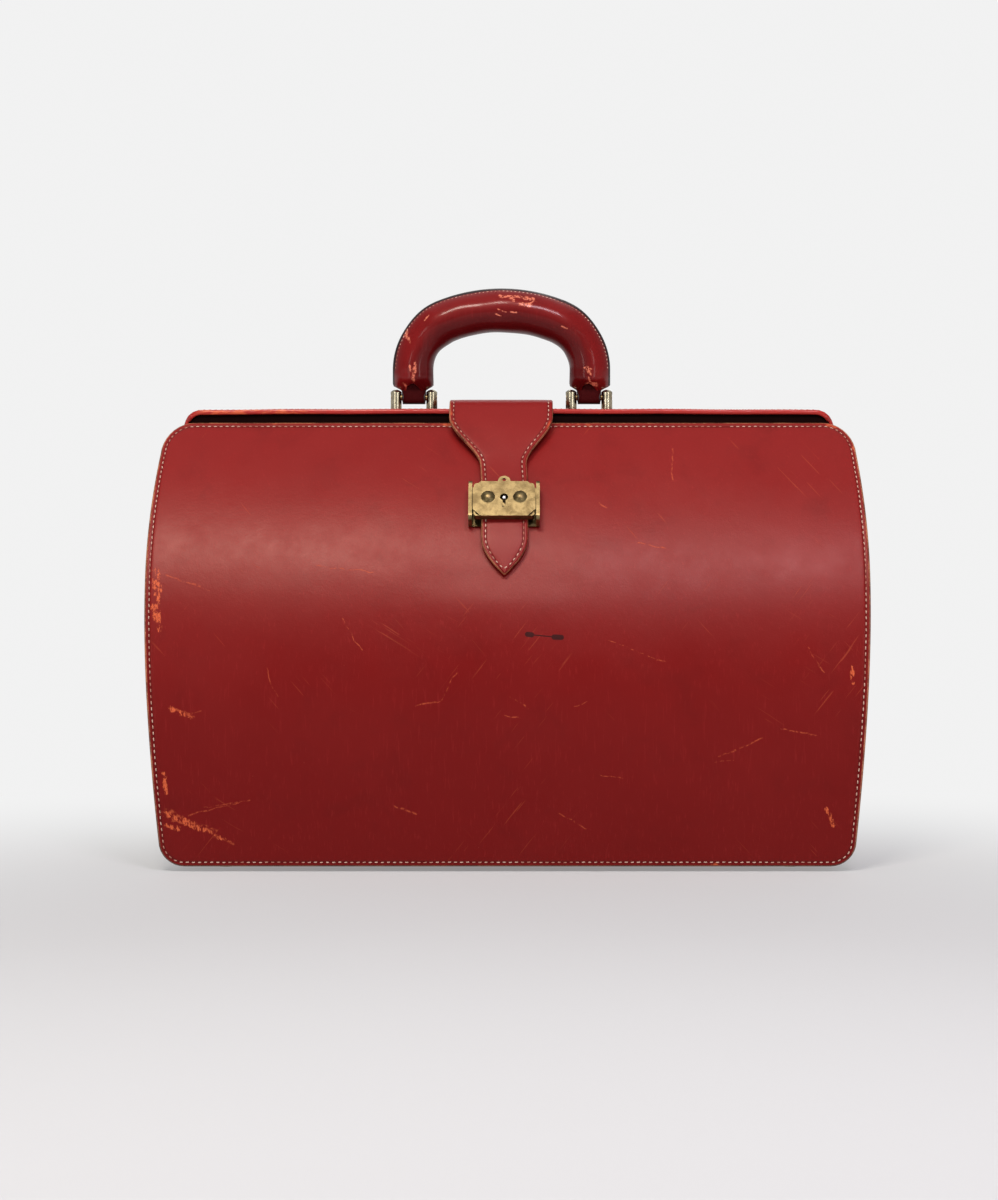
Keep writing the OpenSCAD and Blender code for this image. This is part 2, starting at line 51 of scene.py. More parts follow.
rng = random.Random(11)

# ---- sizes of the bag, in millimetres, as the frame has them ----

HALF_W = 227.4
BELLY_Z = 95.0
WIDEST_Z = 193.0
BOTTOM_Z = 3.0
TOP_Z = 280.7
MOUTH_HALF_DEPTH = 18.0
HALF_DEPTH = 102.5
BASE_TUCK = 8.5
SLOPE_POWER = 2.2
SIDE_TAPER = 9.5
TOP_TAPER = 3.0
CORNER_LOW = 16.0
CORNER_HIGH = 20.0
PANEL_T = 3.0
EDGE_OVER = 7.0
GUSSET_T = 2.5
FRAME_HALF_W = 211.0
FRAME_TOP_Z = 288.2
RIM_T = 3.1
RIM_CORNER = 12.0
RIM_FOOT_Z = 185.0
STRAP_UNDER_Z = 291.2
STRAP_BEND_R = 12.0
STRAP_BEND_Y = 11.3
STRAP_BEND_END = 42.0
STRAP_JOIN_Z = 283.3
STRAP_TIP_Z = 184.0
STRAP_TIP_LENGTH = 21.0
STRAP_TAIL_Z = 246.0
STRAP_HALF_W = 33.5
STRAP_NECK_HALF_W = 14.75
HANDLE_X = -5.0
HANDLE_Y = 9.0
HANDLE_HALF_W = 57.5
HANDLE_TOP_Z = 353.2
HANDLE_CORNER = 34.0
STITCH_PITCH = 3.8
STITCH_IN = 3.0
SWELL = 1.5
LONG_WAVE = 0.75
SHORT_WAVE = 0.4


def smooth(t):
    c = min(1.0, max(0.0, t))
    return c * c * (3 - 2 * c)


def lerp(a, b, t):
    return a + (b - a) * t


def steps(a, b, n):
    return [a + (b - a) * i / n for i in range(n + 1)]


def around(n):
    """The angles of n points round a circle."""
    return [2 * math.pi * k / n for k in range(n)]


def arc(a, b, n):
    """Cosine and sine at n + 1 angles from a to b degrees."""
    return [(math.cos(t), math.sin(t)) for t in (math.radians(d) for d in steps(a, b, n))]


def half_w(z):
    if z < WIDEST_Z:
        return HALF_W - SIDE_TAPER * ((WIDEST_Z - z) / 170) ** 1.6
    return HALF_W - TOP_TAPER * ((z - WIDEST_Z) / 60) ** 2


def depth(z):
    if z > BELLY_Z:
        t = (z - BELLY_Z) / (TOP_Z - BELLY_Z)
        return MOUTH_HALF_DEPTH + (HALF_DEPTH - MOUTH_HALF_DEPTH) * (1 - t ** SLOPE_POWER)
    return HALF_DEPTH - BASE_TUCK * ((BELLY_Z - z) / (BELLY_Z - BOTTOM_Z)) ** 2


def lean(z):
    rise = TOP_Z - BELLY_Z
    if z > BELLY_Z:
        run = (HALF_DEPTH - MOUTH_HALF_DEPTH) * SLOPE_POWER / rise
        return math.atan(run * ((z - BELLY_Z) / rise) ** (SLOPE_POWER - 1))
    drop = BELLY_Z - BOTTOM_Z
    return -math.atan(2 * BASE_TUCK * (BELLY_Z - z) / (drop * drop))


def sag(x, z, side):
    """How far a wall's leather stands out: a fuller belly and slow waves, none at the edges or the strap."""
    edge = min(half_w(z) - abs(x), z - BOTTOM_Z, TOP_Z - z)
    strap_from = 165 if side < 0 else 215
    behind_strap = math.exp(-((x + 4) / 58) ** 4) * smooth((z - strap_from) / 20)
    belly = SWELL * math.exp(-((z - 105) / 60) ** 2) * math.cos(math.pi * x / 470)
    waves = LONG_WAVE * math.sin(x / 67 + 0.7 * side) * math.sin(z / 49 + 0.4)
    waves += SHORT_WAVE * math.sin(x / 31 + z / 57 + 2 * side)
    return smooth((edge - 4) / 45) * (1 - behind_strap) * (belly + waves)


def wall_point(x, z, d, side):
    """A point of the front (side -1) or rear (side 1) wall, moved outwards by d."""
    d += sag(x, z, side)
    a = lean(z)
    return (x, side * (depth(z) + d * math.cos(a)), z + d * math.sin(a))


def wall_normal(z, side):
    a = lean(z)
    return Vector((0, side * math.cos(a), math.sin(a)))


# ---- meshes ----


def new_object(name, data):
    o = bpy.data.objects.new(name, data)
    bpy.context.scene.collection.objects.link(o)
    return o


def add_mesh(name, verts, faces, materials, face_materials=None, **attributes):
    """A smooth-shaded object from points in millimetres, which keep their place at rest for the materials."""
    mesh = bpy.data.meshes.new(name)
    mesh.from_pydata([(x * MM, y * MM, z * MM) for x, y, z in verts], [], faces)
    for m in materials:
        mesh.materials.append(m)
    if face_materials:
        mesh.polygons.foreach_set("material_index", face_materials)
    mesh.polygons.foreach_set("use_smooth", [True] * len(mesh.polygons))
    rest = mesh.attributes.new("rest", "FLOAT_VECTOR", "POINT")
    rest.data.foreach_set("vector", np.array(verts, np.float32).ravel() * MM)
    for key, values in attributes.items():
        mesh.attributes.new(key, "FLOAT", "POINT").data.foreach_set("value", np.array(values, np.float32))
    bm = bmesh.new()
    bm.from_mesh(mesh)
    bmesh.ops.recalc_face_normals(bm, faces=bm.faces)
    bm.to_mesh(mesh)
    bm.free()
    mesh.update()
    return new_object(name, mesh)


def border(rows):
    """The points round the edge of a grid, in order."""
    return list(rows[0]) + [r[-1] for r in rows[1:]] + rows[-1][-2::-1] + [r[0] for r in rows[-2:0:-1]]


class Builder:
    """Collects points and faces for one object."""

    def __init__(self):
        self.verts, self.faces, self.mats, self.edge = [], [], [], []

    def add(self, p, edge=20.0):
        self.verts.append(tuple(p))
        self.edge.append(edge)
        return len(self.verts) - 1

    def quad(self, a, b, c, d, m=0):
        f = []
        for i in (a, b, c, d):
            if i not in f:
                f.append(i)
        if len(f) > 2:
            self.faces.append(f)
            self.mats.append(m)

    def face(self, loop, m=0):
        self.faces.append(list(loop))
        self.mats.append(m)

    def grid(self, rows, m=0, closed=False):
        for r0, r1 in zip(rows, rows[1:]):
            n = len(r0)
            for k in range(n if closed else n - 1):
                self.quad(r0[k], r0[(k + 1) % n], r1[(k + 1) % n], r1[k], m)

    def sheet(self, outer, inner):
        """Two facing grids, closed round their edges."""
        self.grid(outer)
        self.grid(inner)
        self.grid([border(outer), border(inner)], closed=True)

    def make(self, name, materials):
        return add_mesh(name, self.verts, self.faces, materials, self.mats, edge=self.edge)


# ---- materials ----


class Shader:
    """A node material with short calls for the nodes that the leathers and metals need."""

    def __init__(self, name):
        self.mat = bpy.data.materials.new(name)
        self.mat.use_nodes = True
        self.tree = self.mat.node_tree
        self.bsdf = next(n for n in self.tree.nodes if n.type == "BSDF_PRINCIPLED")

    def node(self, kind, **values):
        n = self.tree.nodes.new(kind)
        for key, v in values.items():
            setattr(n, key, v)
        return n

    def put(self, socket, value):
        if isinstance(value, bpy.types.NodeSocket):
            self.tree.links.new(value, socket)
        elif value is not None:
            socket.default_value = value

    def place(self, from_rest=True):
        if from_rest:
            return self.node("ShaderNodeAttribute", attribute_name="rest").outputs["Vector"]
        return self.node("ShaderNodeTexCoord").outputs["Object"]

    def value(self, name):
        return self.node("ShaderNodeAttribute", attribute_name=name).outputs["Fac"]

    def math(self, op, a, b=None, clamp=False):
        n = self.node("ShaderNodeMath", operation=op, use_clamp=clamp)
        self.put(n.inputs[0], a)
        self.put(n.inputs[1], b)
        return n.outputs[0]

    def product(self, *factors):
        return functools.reduce(lambda a, b: self.math("MULTIPLY", a, b), factors)

    def largest(self, values):
        return functools.reduce(lambda a, b: self.math("MAXIMUM", a, b), values)

    def vector(self, op, a, b=None, out="Vector"):
        n = self.node("ShaderNodeVectorMath", operation=op)
        self.put(n.inputs[0], a)
        self.put(n.inputs[1], b)
        return n.outputs[out]

    def parts(self, v):
        return self.node_in("ShaderNodeSeparateXYZ", v).outputs

    def node_in(self, kind, v, **values):
        n = self.node(kind, **values)
        self.put(n.inputs[0], v)
        return n

    def noise(self, v, scale, detail=3.0, rough=0.55, distort=0.0):
        n = self.node("ShaderNodeTexNoise")
        self.put(n.inputs["Vector"], v)
        n.inputs["Scale"].default_value = scale
        n.inputs["Detail"].default_value = detail
        n.inputs["Roughness"].default_value = rough
        n.inputs["Distortion"].default_value = distort
        return n.outputs["Fac"]

    def cells(self, v, scale, feature="F1"):
        n = self.node("ShaderNodeTexVoronoi", feature=feature)
        self.put(n.inputs["Vector"], v)
        n.inputs["Scale"].default_value = scale
        return n.outputs["Distance"]

    def stretch(self, v, sx, sy, sz, turn=(0, 0, 0)):
        n = self.node_in("ShaderNodeMapping", v)
        n.inputs["Scale"].default_value = (sx, sy, sz)
        n.inputs["Rotation"].default_value = turn
        return n.outputs[0]

    def centred(self, noise, amount):
        """Noise about zero."""
        return self.product(self.math("SUBTRACT", noise, 0.5), amount)

    def scaled(self, v, amount):
        n = self.node_in("ShaderNodeVectorMath", v, operation="SCALE")
        self.put(n.inputs["Scale"], amount)
        return n.outputs[0]

    def shaken(self, v, scale, amount):
        """The place, shaken by noise and pressed flat on the XZ plane, which makes drawn marks ragged."""
        wobble = self.node("ShaderNodeTexNoise")
        self.put(wobble.inputs["Vector"], v)
        wobble.inputs["Scale"].default_value = scale
        shake = self.scaled(self.vector("SUBTRACT", wobble.outputs["Color"], (0.5, 0.5, 0.5)), amount)
        return self.vector("MULTIPLY", self.vector("ADD", v, shake), (1, 0, 1))

    def between(self, v, low, high, a=0.0, b=1.0):
        n = self.node("ShaderNodeMapRange", interpolation_type="SMOOTHSTEP")
        self.put(n.inputs["Value"], v)
        for key, x in (("From Min", low), ("From Max", high), ("To Min", a), ("To Max", b)):
            n.inputs[key].default_value = x
        return n.outputs["Result"]

    def mix(self, t, a, b):
        n = self.node("ShaderNodeMix", data_type="RGBA")
        self.put(n.inputs[0], t)
        for socket, c in ((n.inputs[6], a), (n.inputs[7], b)):
            self.put(socket, (*c, 1) if isinstance(c, tuple) else c)
        return n.outputs[2]

    def bump(self, height, strength, distance, normal=None):
        n = self.node("ShaderNodeBump")
        self.put(n.inputs["Height"], height)
        n.inputs["Strength"].default_value = strength
        n.inputs["Distance"].default_value = distance
        if normal is not None:
            self.put(n.inputs["Normal"], normal)
        return n.outputs[0]

    def finish(self, colour, roughness, normal=None, metal=0.0, specular=0.5, coat=0.0, coat_rough=0.2,
               sheen=0.0):
        b = self.bsdf.inputs
        self.put(b["Base Color"], (*colour, 1) if isinstance(colour, tuple) else colour)
        self.put(b["Roughness"], roughness)
        b["Metallic"].default_value = metal
        b["Specular IOR Level"].default_value = specular
        b["Coat Weight"].default_value = coat
        b["Coat Roughness"].default_value = coat_rough
        b["Sheen Weight"].default_value = sheen
        if normal is not None:
            self.put(b["Normal"], normal)
        return self.mat


def segment_mark(s, v, ax, az, bx, bz, width):
    """1 on a line from A to B on the front, in millimetres, fading out over its width."""
    a = Vector((ax, 0, az)) * MM
    ab = Vector((bx - ax, 0, bz - az)) * MM
    pa = s.vector("SUBTRACT", v, tuple(a))
    t = s.math("MULTIPLY", s.vector("DOT_PRODUCT", pa, tuple(ab), "Value"), 1 / ab.length_squared, clamp=True)
    gap = s.vector("LENGTH", s.vector("SUBTRACT", pa, s.scaled(tuple(ab), t)), None, "Value")
    return s.between(gap, 0.0, width * MM, 1.0, 0.0)


def drawn(s, v, marks):
    """The strongest of several marks at each place."""
    return s.largest([segment_mark(s, v, *m) for m in marks])


# Old marks on the front wall and the handle: x and z of both ends, and how wide each one is.
PALE_MARKS = [
    (-214, 185, -186, 175, 0.7), (-213, 40, -170, 18, 1.6), (-211, 33, -181, 27, 1.2),
    (-199, 36, -160, 46, 0.6), (-188, 41, -166, 45, 0.6), (105, 263, 105, 243, 0.6),
    (-103, 158, -91, 139, 0.5), (-32, 125, -41, 108, 0.6), (-41, 108, -57, 104, 0.6),
    (2, 110, 13, 103, 0.6), (-1, 98, 9, 97, 0.5), (42, 104, 54, 109, 0.5), (60, 146, 102, 130, 0.5),
    (131, 73, 158, 84, 0.7), (129, 69, 140, 71, 0.5), (170, 90, 192, 86, 0.6), (55, 62, 72, 60, 0.4),
    (32, 37, 49, 28, 0.6), (-70, 42, -56, 37, 0.8), (57, 229, 62, 226, 0.7), (-208, 103, -194, 97, 1.4),
    (-201, 99, -190, 101, 0.6), (78, 205, 99, 201, 0.6), (-120, 190, -84, 187, 0.5),
    (-150, 128, -143, 110, 0.4), (187, 140, 196, 125, 0.5),
]
SCUFFS = [(-220, 187, -219, 176, 4.6), (-219, 176, -217, 152, 3.2), (-221, 165, -219, 158, 4.4),
          (-214, 37, -196, 31, 3.6), (-200, 31, -176, 21, 2.6), (-212, 30, -204, 27, 2.6),
          (-209, 103, -197, 98, 3.0), (-214, 62, -212, 50, 2.4), (198, 40, 203, 30, 2.0),
          (214, 128, 215, 118, 2.0)]
DARK_MARKS = [(12.5, 148.5, 15, 148.2, 2.6), (29, 146.8, 33.5, 146.6, 2.6), (15, 148.2, 30, 146.8, 0.6)]
HANDLE_MARKS = [(-6, 362.8, 8, 362.2, 1.7), (1, 361.6, 3, 359.8, 1.9), (10, 361.4, 16, 361.0, 1.8),
                (7, 357.8, 14, 356.8, 2.4), (13, 357.4, 16, 359.5, 1.2), (-7, 354, -2, 352, 0.8),
                (-9, 351, -5, 349.6, 0.8), (1, 352.6, 5, 351.8, 0.8), (-68, 341, -67, 336, 3.2),
                (-66, 336, -65, 333, 1.8), (-53, 350, -55, 347, 1.0), (-61, 319, -62, 311, 2.2),
                (-65, 317, -64, 314, 1.4), (-63, 309, -62, 307.5, 2.0), (51, 316, 53, 312, 2.2),
                (49, 315.5, 54, 315.2, 1.2), (52, 309.5, 53, 306.5, 1.2), (51.5, 305.2, 57, 304.9, 2.6),
                (35, 343, 38, 341.6, 1.2), (-67, 303, -69, 306, 1.6)]
BARE_LEATHER = (0.62, 0.115, 0.040)
BARE_GRIP = (0.76, 0.22, 0.13)
STAIN = (0.03, 0.002, 0.003)
FIN_BLACK = (0.012, 0.002, 0.003)
RED_GLINT = (1.0, 0.66, 0.60, 1)


def dye_and_painted_shade(s, p, low, high, height):
    """Red that deepens downwards, partly the leather's own tone and partly painted shade for the light from
    above, with slow clouds.
    """
    x, y, z = s.parts(p)
    # Partly painted shade: the red darkens towards the bottom.
    tone = s.math("ADD", s.between(z, *height), s.centred(s.noise(p, 9, 4, 0.6), 0.9), clamp=True)
    return s.mix(tone, low, high)


def grip_painted_light_and_fin(s, p, low, high):
    """Red that is lighter on the outside of the handle's arch and darker on its inside, painted light and
    shade, with a black line along its sewn fin.
    """
    outer = s.value("outer")
    # Painted light and shade: lighter towards the outside of the arch.
    tone = s.math("ADD", s.between(outer, 0.30, 0.72), s.centred(s.noise(p, 40, 4, 0.6), 0.8), clamp=True)
    return s.mix(s.between(outer, 0.975, 0.988), s.mix(tone, low, high), FIN_BLACK)


def flecks(s, p, colour, low, high):
    """Dark blotches, pale fibres and sparse light specks."""
    blotch = s.between(s.noise(p, 34, 5, 0.62, 0.4), 0.5, 0.75)
    colour = s.mix(s.product(blotch, 0.22), colour, tuple(c * 0.55 for c in low))
    fibres = s.noise(s.stretch(p, 900, 900, 60), 1.0, 3, 0.6)
    colour = s.mix(s.between(fibres, 0.56, 0.72, 0, 0.16), colour, tuple(c * 1.7 + 0.01 for c in high))
    specks = s.between(s.cells(p, 130), 0.018, 0.05, 1.0, 0.0)
    sparse = s.between(s.noise(p, 42, 2), 0.58, 0.66)
    return s.mix(s.product(specks, sparse, 0.5), colour, (0.45, 0.10, 0.06))


def fine_scratches(s, p):
    """Thin lines in three directions, in patches."""
    lines = []
    for turn, seed in ((0.9, 3.1), (-0.55, 7.7), (2.3, 1.9)):
        turned = s.stretch(s.vector("ADD", p, (seed, 0, seed)), 1, 1, 1, (0, turn, 0))
        line = s.between(s.noise(s.stretch(turned, 26, 26, 820), 1.0, 2, 0.4), 0.70, 0.73)
        lines.append(s.product(line, s.between(s.noise(turned, 13, 2), 0.56, 0.66)))
    return s.largest(lines)


def worn_edge_and_groove_shade(s, p, colour, low, wear):
    """Bare patches along the piece's edge, and painted shade in the groove that its stitches lie in."""
    edge = s.value("edge")
    near = s.between(edge, 0.4, 6.0, 1.0, 0.0)
    patch = s.between(s.noise(p, 21, 4, 0.65), 0.54, 0.72)
    worn = s.between(s.product(near, patch, s.noise(p, 190, 5, 0.7, 0.3)), 0.2, 0.36, 0.0, 0.75)
    colour = s.mix(s.product(worn, wear), colour, BARE_LEATHER)
    # Painted shade: the stitch groove darkened.
    groove = s.product(s.between(edge, 1.9, 2.7), s.between(edge, 3.3, 4.3, 1.0, 0.0))
    return s.mix(s.product(groove, 0.45), colour, tuple(c * 0.3 for c in low))


def front_marks(s, p, colour):
    """The front wall's scratches, scuffs and stain, and how far each place has lost its finish."""
    x, y, z = s.parts(p)
    front = s.between(y, -0.015, -0.01, 1.0, 0.0)
    ragged = s.shaken(p, 120, 0.004)
    pale = s.product(drawn(s, ragged, PALE_MARKS), s.between(s.noise(p, 300, 4, 0.7), 0.42, 0.60), front)
    colour = s.mix(s.product(pale, 0.5), colour, BARE_LEATHER)
    torn = s.between(s.noise(s.stretch(p, 620, 620, 230), 1.0, 5, 0.78), 0.44, 0.60)
    scuff = s.between(s.product(drawn(s, ragged, SCUFFS), torn), 0.22, 0.55)
    colour = s.mix(s.product(scuff, front, 0.92), colour, BARE_LEATHER)
    dark = s.between(drawn(s, s.vector("MULTIPLY", p, (1, 0, 1)), DARK_MARKS), 0.15, 0.5)
    return s.mix(s.product(dark, front), colour, STAIN), s.math("MAXIMUM", pale, scuff)


def grip_wear(s, p, colour):
    """Salmon patches where hands and the ground have rubbed the grip's finish away."""
    x, y, z = s.parts(p)
    front = s.between(y, 0.004, 0.007, 1.0, 0.0)
    torn = s.between(s.noise(p, 560, 5, 0.75), 0.36, 0.58)
    bare = s.between(s.product(drawn(s, s.shaken(p, 260, 0.0022), HANDLE_MARKS), torn), 0.2, 0.7)
    return s.mix(s.product(bare, front, 0.78), colour, BARE_GRIP)


def rubbed_lip_and_highlight(s, p, colour, left, right):
    """Bare leather along the front edge of the lip, between two places: partly wear and partly a painted
    highlight on that rounded edge.
    """
    x, y, z = s.parts(p)
    here = s.product(s.between(x, left, left + 0.012), s.between(x, right - 0.03, right, 1.0, 0.0),
                     s.between(y, -0.0176, -0.0150, 1.0, 0.0))
    bare = s.between(s.noise(s.stretch(p, 90, 420, 420), 1.0, 5, 0.7), 0.44, 0.58)
    # Partly painted highlight: the pale orange follows the lip's rounded front edge.
    return s.mix(s.product(here, bare, 0.8), colour, BARE_LEATHER)


def skin(s, p, grain):
    """Pores, fine grain and slow unevenness."""
    normal = s.bump(s.cells(p, 1150), 0.12 * grain, 0.00018)
    normal = s.bump(s.noise(p, 620, 4, 0.6), 0.16 * grain, 0.00025, normal)
    return s.bump(s.noise(p, 60, 3), 0.12, 0.0012, normal)


def leather(name, low, high, rough=0.36, gloss=0.0, marks=False, wear=0.5, grain=1.0, height=(0.0, 0.28),
            specular=0.27, handle=False, rub_and_highlight=None):
    """Dyed cowhide, with some painted shade and, along the lip, a painted highlight. Orange leather shows
    through where it is worn.
    """
    s = Shader(name)
    p = s.place()
    colour = grip_painted_light_and_fin(s, p, low, high) if handle else dye_and_painted_shade(s, p, low, high, height)
    colour = flecks(s, p, colour, low, high)
    dull = fine_scratches(s, p)
    colour = s.mix(s.product(dull, 0.22 * wear), colour, BARE_LEATHER)
    colour = worn_edge_and_groove_shade(s, p, colour, low, wear)
    if marks:
        colour, bare = front_marks(s, p, colour)
        dull = s.math("MAXIMUM", dull, bare)
    if handle:
        colour = grip_wear(s, p, colour)
    if rub_and_highlight:
        colour = rubbed_lip_and_highlight(s, p, colour, *rub_and_highlight)
    shine = s.math("ADD", s.centred(s.noise(p, 55, 5, 0.65), 0.22), rough)
    shine = s.math("ADD", shine, s.product(dull, 0.18), clamp=True)
    s.bsdf.inputs["Specular Tint"].default_value = RED_GLINT
    return s.finish(colour, shine, skin(s, p, grain), specular=specular, coat=gloss, coat_rough=0.12)


def raw_edge():
    """The cut, burnished edge of stacked leather: tan with brown burnish and thin layer lines."""
    s = Shader("leather_raw_edge")
    p = s.place()
    base = s.mix(s.between(s.noise(p, 45, 5, 0.7), 0.38, 0.62), (0.15, 0.036, 0.020), (0.44, 0.145, 0.070))
    base = s.mix(s.between(s.noise(p, 700, 3), 0.5, 0.7, 0, 0.5), base, (0.62, 0.33, 0.16))
    # Darker in the lowest 45 mm, near the floor.
    base = s.mix(s.between(s.parts(p)[2], 0.0, 0.045, 0.65, 0.0), base, (0.07, 0.028, 0.014))
    normal = s.bump(s.noise(p, 900, 4), 0.35, 0.0002)
    return s.finish(base, 0.48, normal, specular=0.4)


def thread():
    s = Shader("thread")
    p = s.place()
    dirty = s.between(s.noise(p, 60, 3), 0.42, 0.62)
    colour = s.mix(dirty, (0.66, 0.43, 0.34), (0.42, 0.17, 0.12))
    twist = s.noise(s.stretch(p, 1, 1, 1, (0.6, 0.6, 0.6)), 2600, 2)
    return s.finish(colour, 0.75, s.bump(twist, 0.5, 0.0001), specular=0.3)


def metal(name, bright, dull, rough, metalness=1.0, dents=0.16):
    """Old plated brass or steel: fine brushing, tarnish in slow patches, small dents."""
    s = Shader(name)
    p = s.place(False)
    tarnish = s.between(s.noise(p, 160, 5, 0.68, 0.3), 0.36, 0.66)
    colour = s.mix(tarnish, bright, dull)
    spots = s.between(s.noise(p, 900, 3, 0.6), 0.6, 0.74, 0, 3.4 * dents)
    colour = s.mix(spots, colour, tuple(c * 0.45 for c in dull))
    brushed = s.noise(s.stretch(p, 300, 3200, 3200), 1.0, 2)
    normal = s.bump(brushed, 0.09, 0.0001)
    normal = s.bump(s.noise(p, 420, 4, 0.6), dents, 0.00035, normal)
    shine = s.math("ADD", s.product(s.noise(p, 310, 4, 0.7), 1.75 * dents), rough, clamp=True)
    return s.finish(colour, shine, normal, metal=metalness, specular=0.5)


def lining_cloth():
    s = Shader("lining_cloth")
    p = s.place()
    threads = []
    for direction in "XZY":
        w = s.node_in("ShaderNodeTexWave", p, wave_type="BANDS", bands_direction=direction)
        w.inputs["Scale"].default_value = 260
        w.inputs["Distortion"].default_value = 0.8
        w.inputs["Detail"].default_value = 1
        threads.append(w.outputs["Fac"])
    weave = s.product(functools.reduce(lambda a, b: s.math("ADD", a, b), threads), 0.33)
    colour = s.mix(s.noise(p, 22, 4), (0.20, 0.115, 0.055), (0.33, 0.21, 0.115))
    colour = s.mix(s.product(weave, 0.35), colour, (0.11, 0.06, 0.03))
    return s.finish(colour, 0.88, s.bump(weave, 0.4, 0.0003), specular=0.2, sheen=0.25)


def fibre_board():
    s = Shader("fibre_board")
    p = s.place(False)
    colour = s.mix(s.noise(p, 240, 5, 0.7), (0.10, 0.06, 0.035), (0.17, 0.11, 0.065))
    return s.finish(colour, 0.8, s.bump(s.noise(p, 700, 4), 0.4, 0.0003), specular=0.25)


# Where a leather's low red lies lower down, it is partly its own tone and partly painted shade.
body_leather = leather("red_leather", (0.154, 0.0018, 0.0022), (0.218, 0.0090, 0.0086), rough=0.37,
                       marks=True, wear=0.9, height=(0.05, 0.30))
gusset_leather = leather("gusset_leather", (0.16, 0.0035, 0.0042), (0.24, 0.0100, 0.0095), rough=0.4,
                         wear=0.6)
strap_leather = leather("strap_leather", (0.195, 0.0080, 0.0085), (0.220, 0.0105, 0.0100), wear=0.7,
                        height=(0.18, 0.30))
rim_leather = leather("frame_leather", (0.20, 0.006, 0.007), (0.38, 0.022, 0.018), rough=0.24, gloss=0.35,
                      height=(0.2, 0.29), rub_and_highlight=(-0.206, -0.115))
# The handle's low red is painted shade on the inside of its arch, and its high red is painted light on the
# outside.
handle_leather = leather("handle_leather", (0.085, 0.0022, 0.0032), (0.172, 0.0070, 0.0075), rough=0.30,
                         gloss=0.22, wear=0.9, grain=0.6, specular=0.12, handle=True)
tongue_leather = leather("tongue_leather", (0.026, 0.0014, 0.002), (0.042, 0.002, 0.003), rough=0.6,
                         wear=0.2, specular=0.08)
# Near black: painted shade for the deep recess under the lip.
recess_painted_shade = leather("recess_painted_shade", (0.0036, 0.0007, 0.0007), (0.0050, 0.0009, 0.0009), rough=0.65,
                         wear=0.0, specular=0.05)
edge_leather = raw_edge()
cream_thread = thread()
lock_brass = metal("lock_brass", (0.27, 0.205, 0.095), (0.135, 0.098, 0.044), 0.25)
fitting_brass = metal("fitting_brass", (0.66, 0.60, 0.44), (0.44, 0.38, 0.26), 0.14, dents=0.05)
# Near black: partly the frame's black paint, partly painted shade for the recess round the mouth.
frame_steel = metal("frame_steel", (0.014, 0.013, 0.013), (0.007, 0.006, 0.006), 0.45, metalness=0.0)
pin_steel = metal("pin_steel", (0.56, 0.56, 0.58), (0.3, 0.3, 0.31), 0.2)
lining_mat = lining_cloth()
board_mat = fibre_board()

# ---- jaws, baked pieces and stitches ----


def jaw(side):
    return "front_jaw" if side < 0 else "rear_jaw"


def fold_with(piece):
    """Bakes the piece's transform into its mesh."""
    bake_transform(piece)


# Along a stitch: where, how thick against its middle, and how far out of the leather.
STITCH_PROFILE = ((-0.5, 0.3, -0.42), (-0.36, 0.85, -0.12), (-0.12, 1.0, 0.03), (0.12, 1.0, 0.03),
                  (0.36, 0.85, -0.12), (0.5, 0.3, -0.42))


def stitch_run(name, path, normals, width=0.72, height=0.5, length=2.35, pitch=STITCH_PITCH, skip=0.0):
    """Separate stitches along a path: each is a short thread whose ends dive into the leather."""
    pts = [Vector(p) for p in path]
    cum = [0.0]
    for a, b in zip(pts, pts[1:]):
        cum.append(cum[-1] + (b - a).length)
    b = Builder()
    count = int(cum[-1] / pitch)
    step = cum[-1] / max(1, count)
    i = 0

    def at(s):
        nonlocal i
        while i < len(cum) - 2 and cum[i + 1] < s:
            i += 1
        while i > 0 and cum[i] > s:
            i -= 1
        t = (s - cum[i]) / max(1e-6, cum[i + 1] - cum[i])
        return pts[i].lerp(pts[i + 1], t), Vector(normals[i]).lerp(Vector(normals[i + 1]), t).normalized()

    for k in range(count):
        if rng.random() < skip:
            continue
        mid = (k + 0.5) * step
        p0, _ = at(mid - length * 0.4)
        p1, _ = at(mid + length * 0.4)
        c, n = at(mid)
        along = (p1 - p0).normalized()
        n = (n - along * n.dot(along)).normalized()
        side = n.cross(along)
        along = (along + side * rng.uniform(-0.03, 0.13)).normalized()
        side = n.cross(along)
        c = c + side * rng.uniform(-0.1, 0.1)
        size = rng.uniform(0.9, 1.06)
        rows = []
        for t, r, lift in STITCH_PROFILE:
            centre = c + along * (t * length * size) + n * (lift + 0.04)
            across, up = side * (width / 2 * r), n * (height / 2 * r)
            rows.append([b.add(centre + across * math.cos(a) + up * math.sin(a)) for a in around(6)])
        b.grid(rows, closed=True)
        b.face(rows[0][::-1])
        b.face(rows[-1])
    return b.make(name, [cream_thread])


# ---- front and rear walls ----

GRID_IN = 6.0
COLUMNS = 84


def right_outline(i):
    low, high = BOTTOM_Z + CORNER_LOW, TOP_Z - CORNER_HIGH
    cx0, cx1 = half_w(low) - CORNER_LOW, half_w(high) - CORNER_HIGH
    pts = []
    for c, s in arc(-90, 0, 8):
        pts.append((cx0 + (CORNER_LOW - i) * c, low + (CORNER_LOW - i) * s))
    for z in steps(low + 5, high - 5, 44):
        pts.append((half_w(z) - i, z))
    for c, s in arc(0, 90, 9):
        pts.append((cx1 + (CORNER_HIGH - i) * c, high + (CORNER_HIGH - i) * s))
    return pts


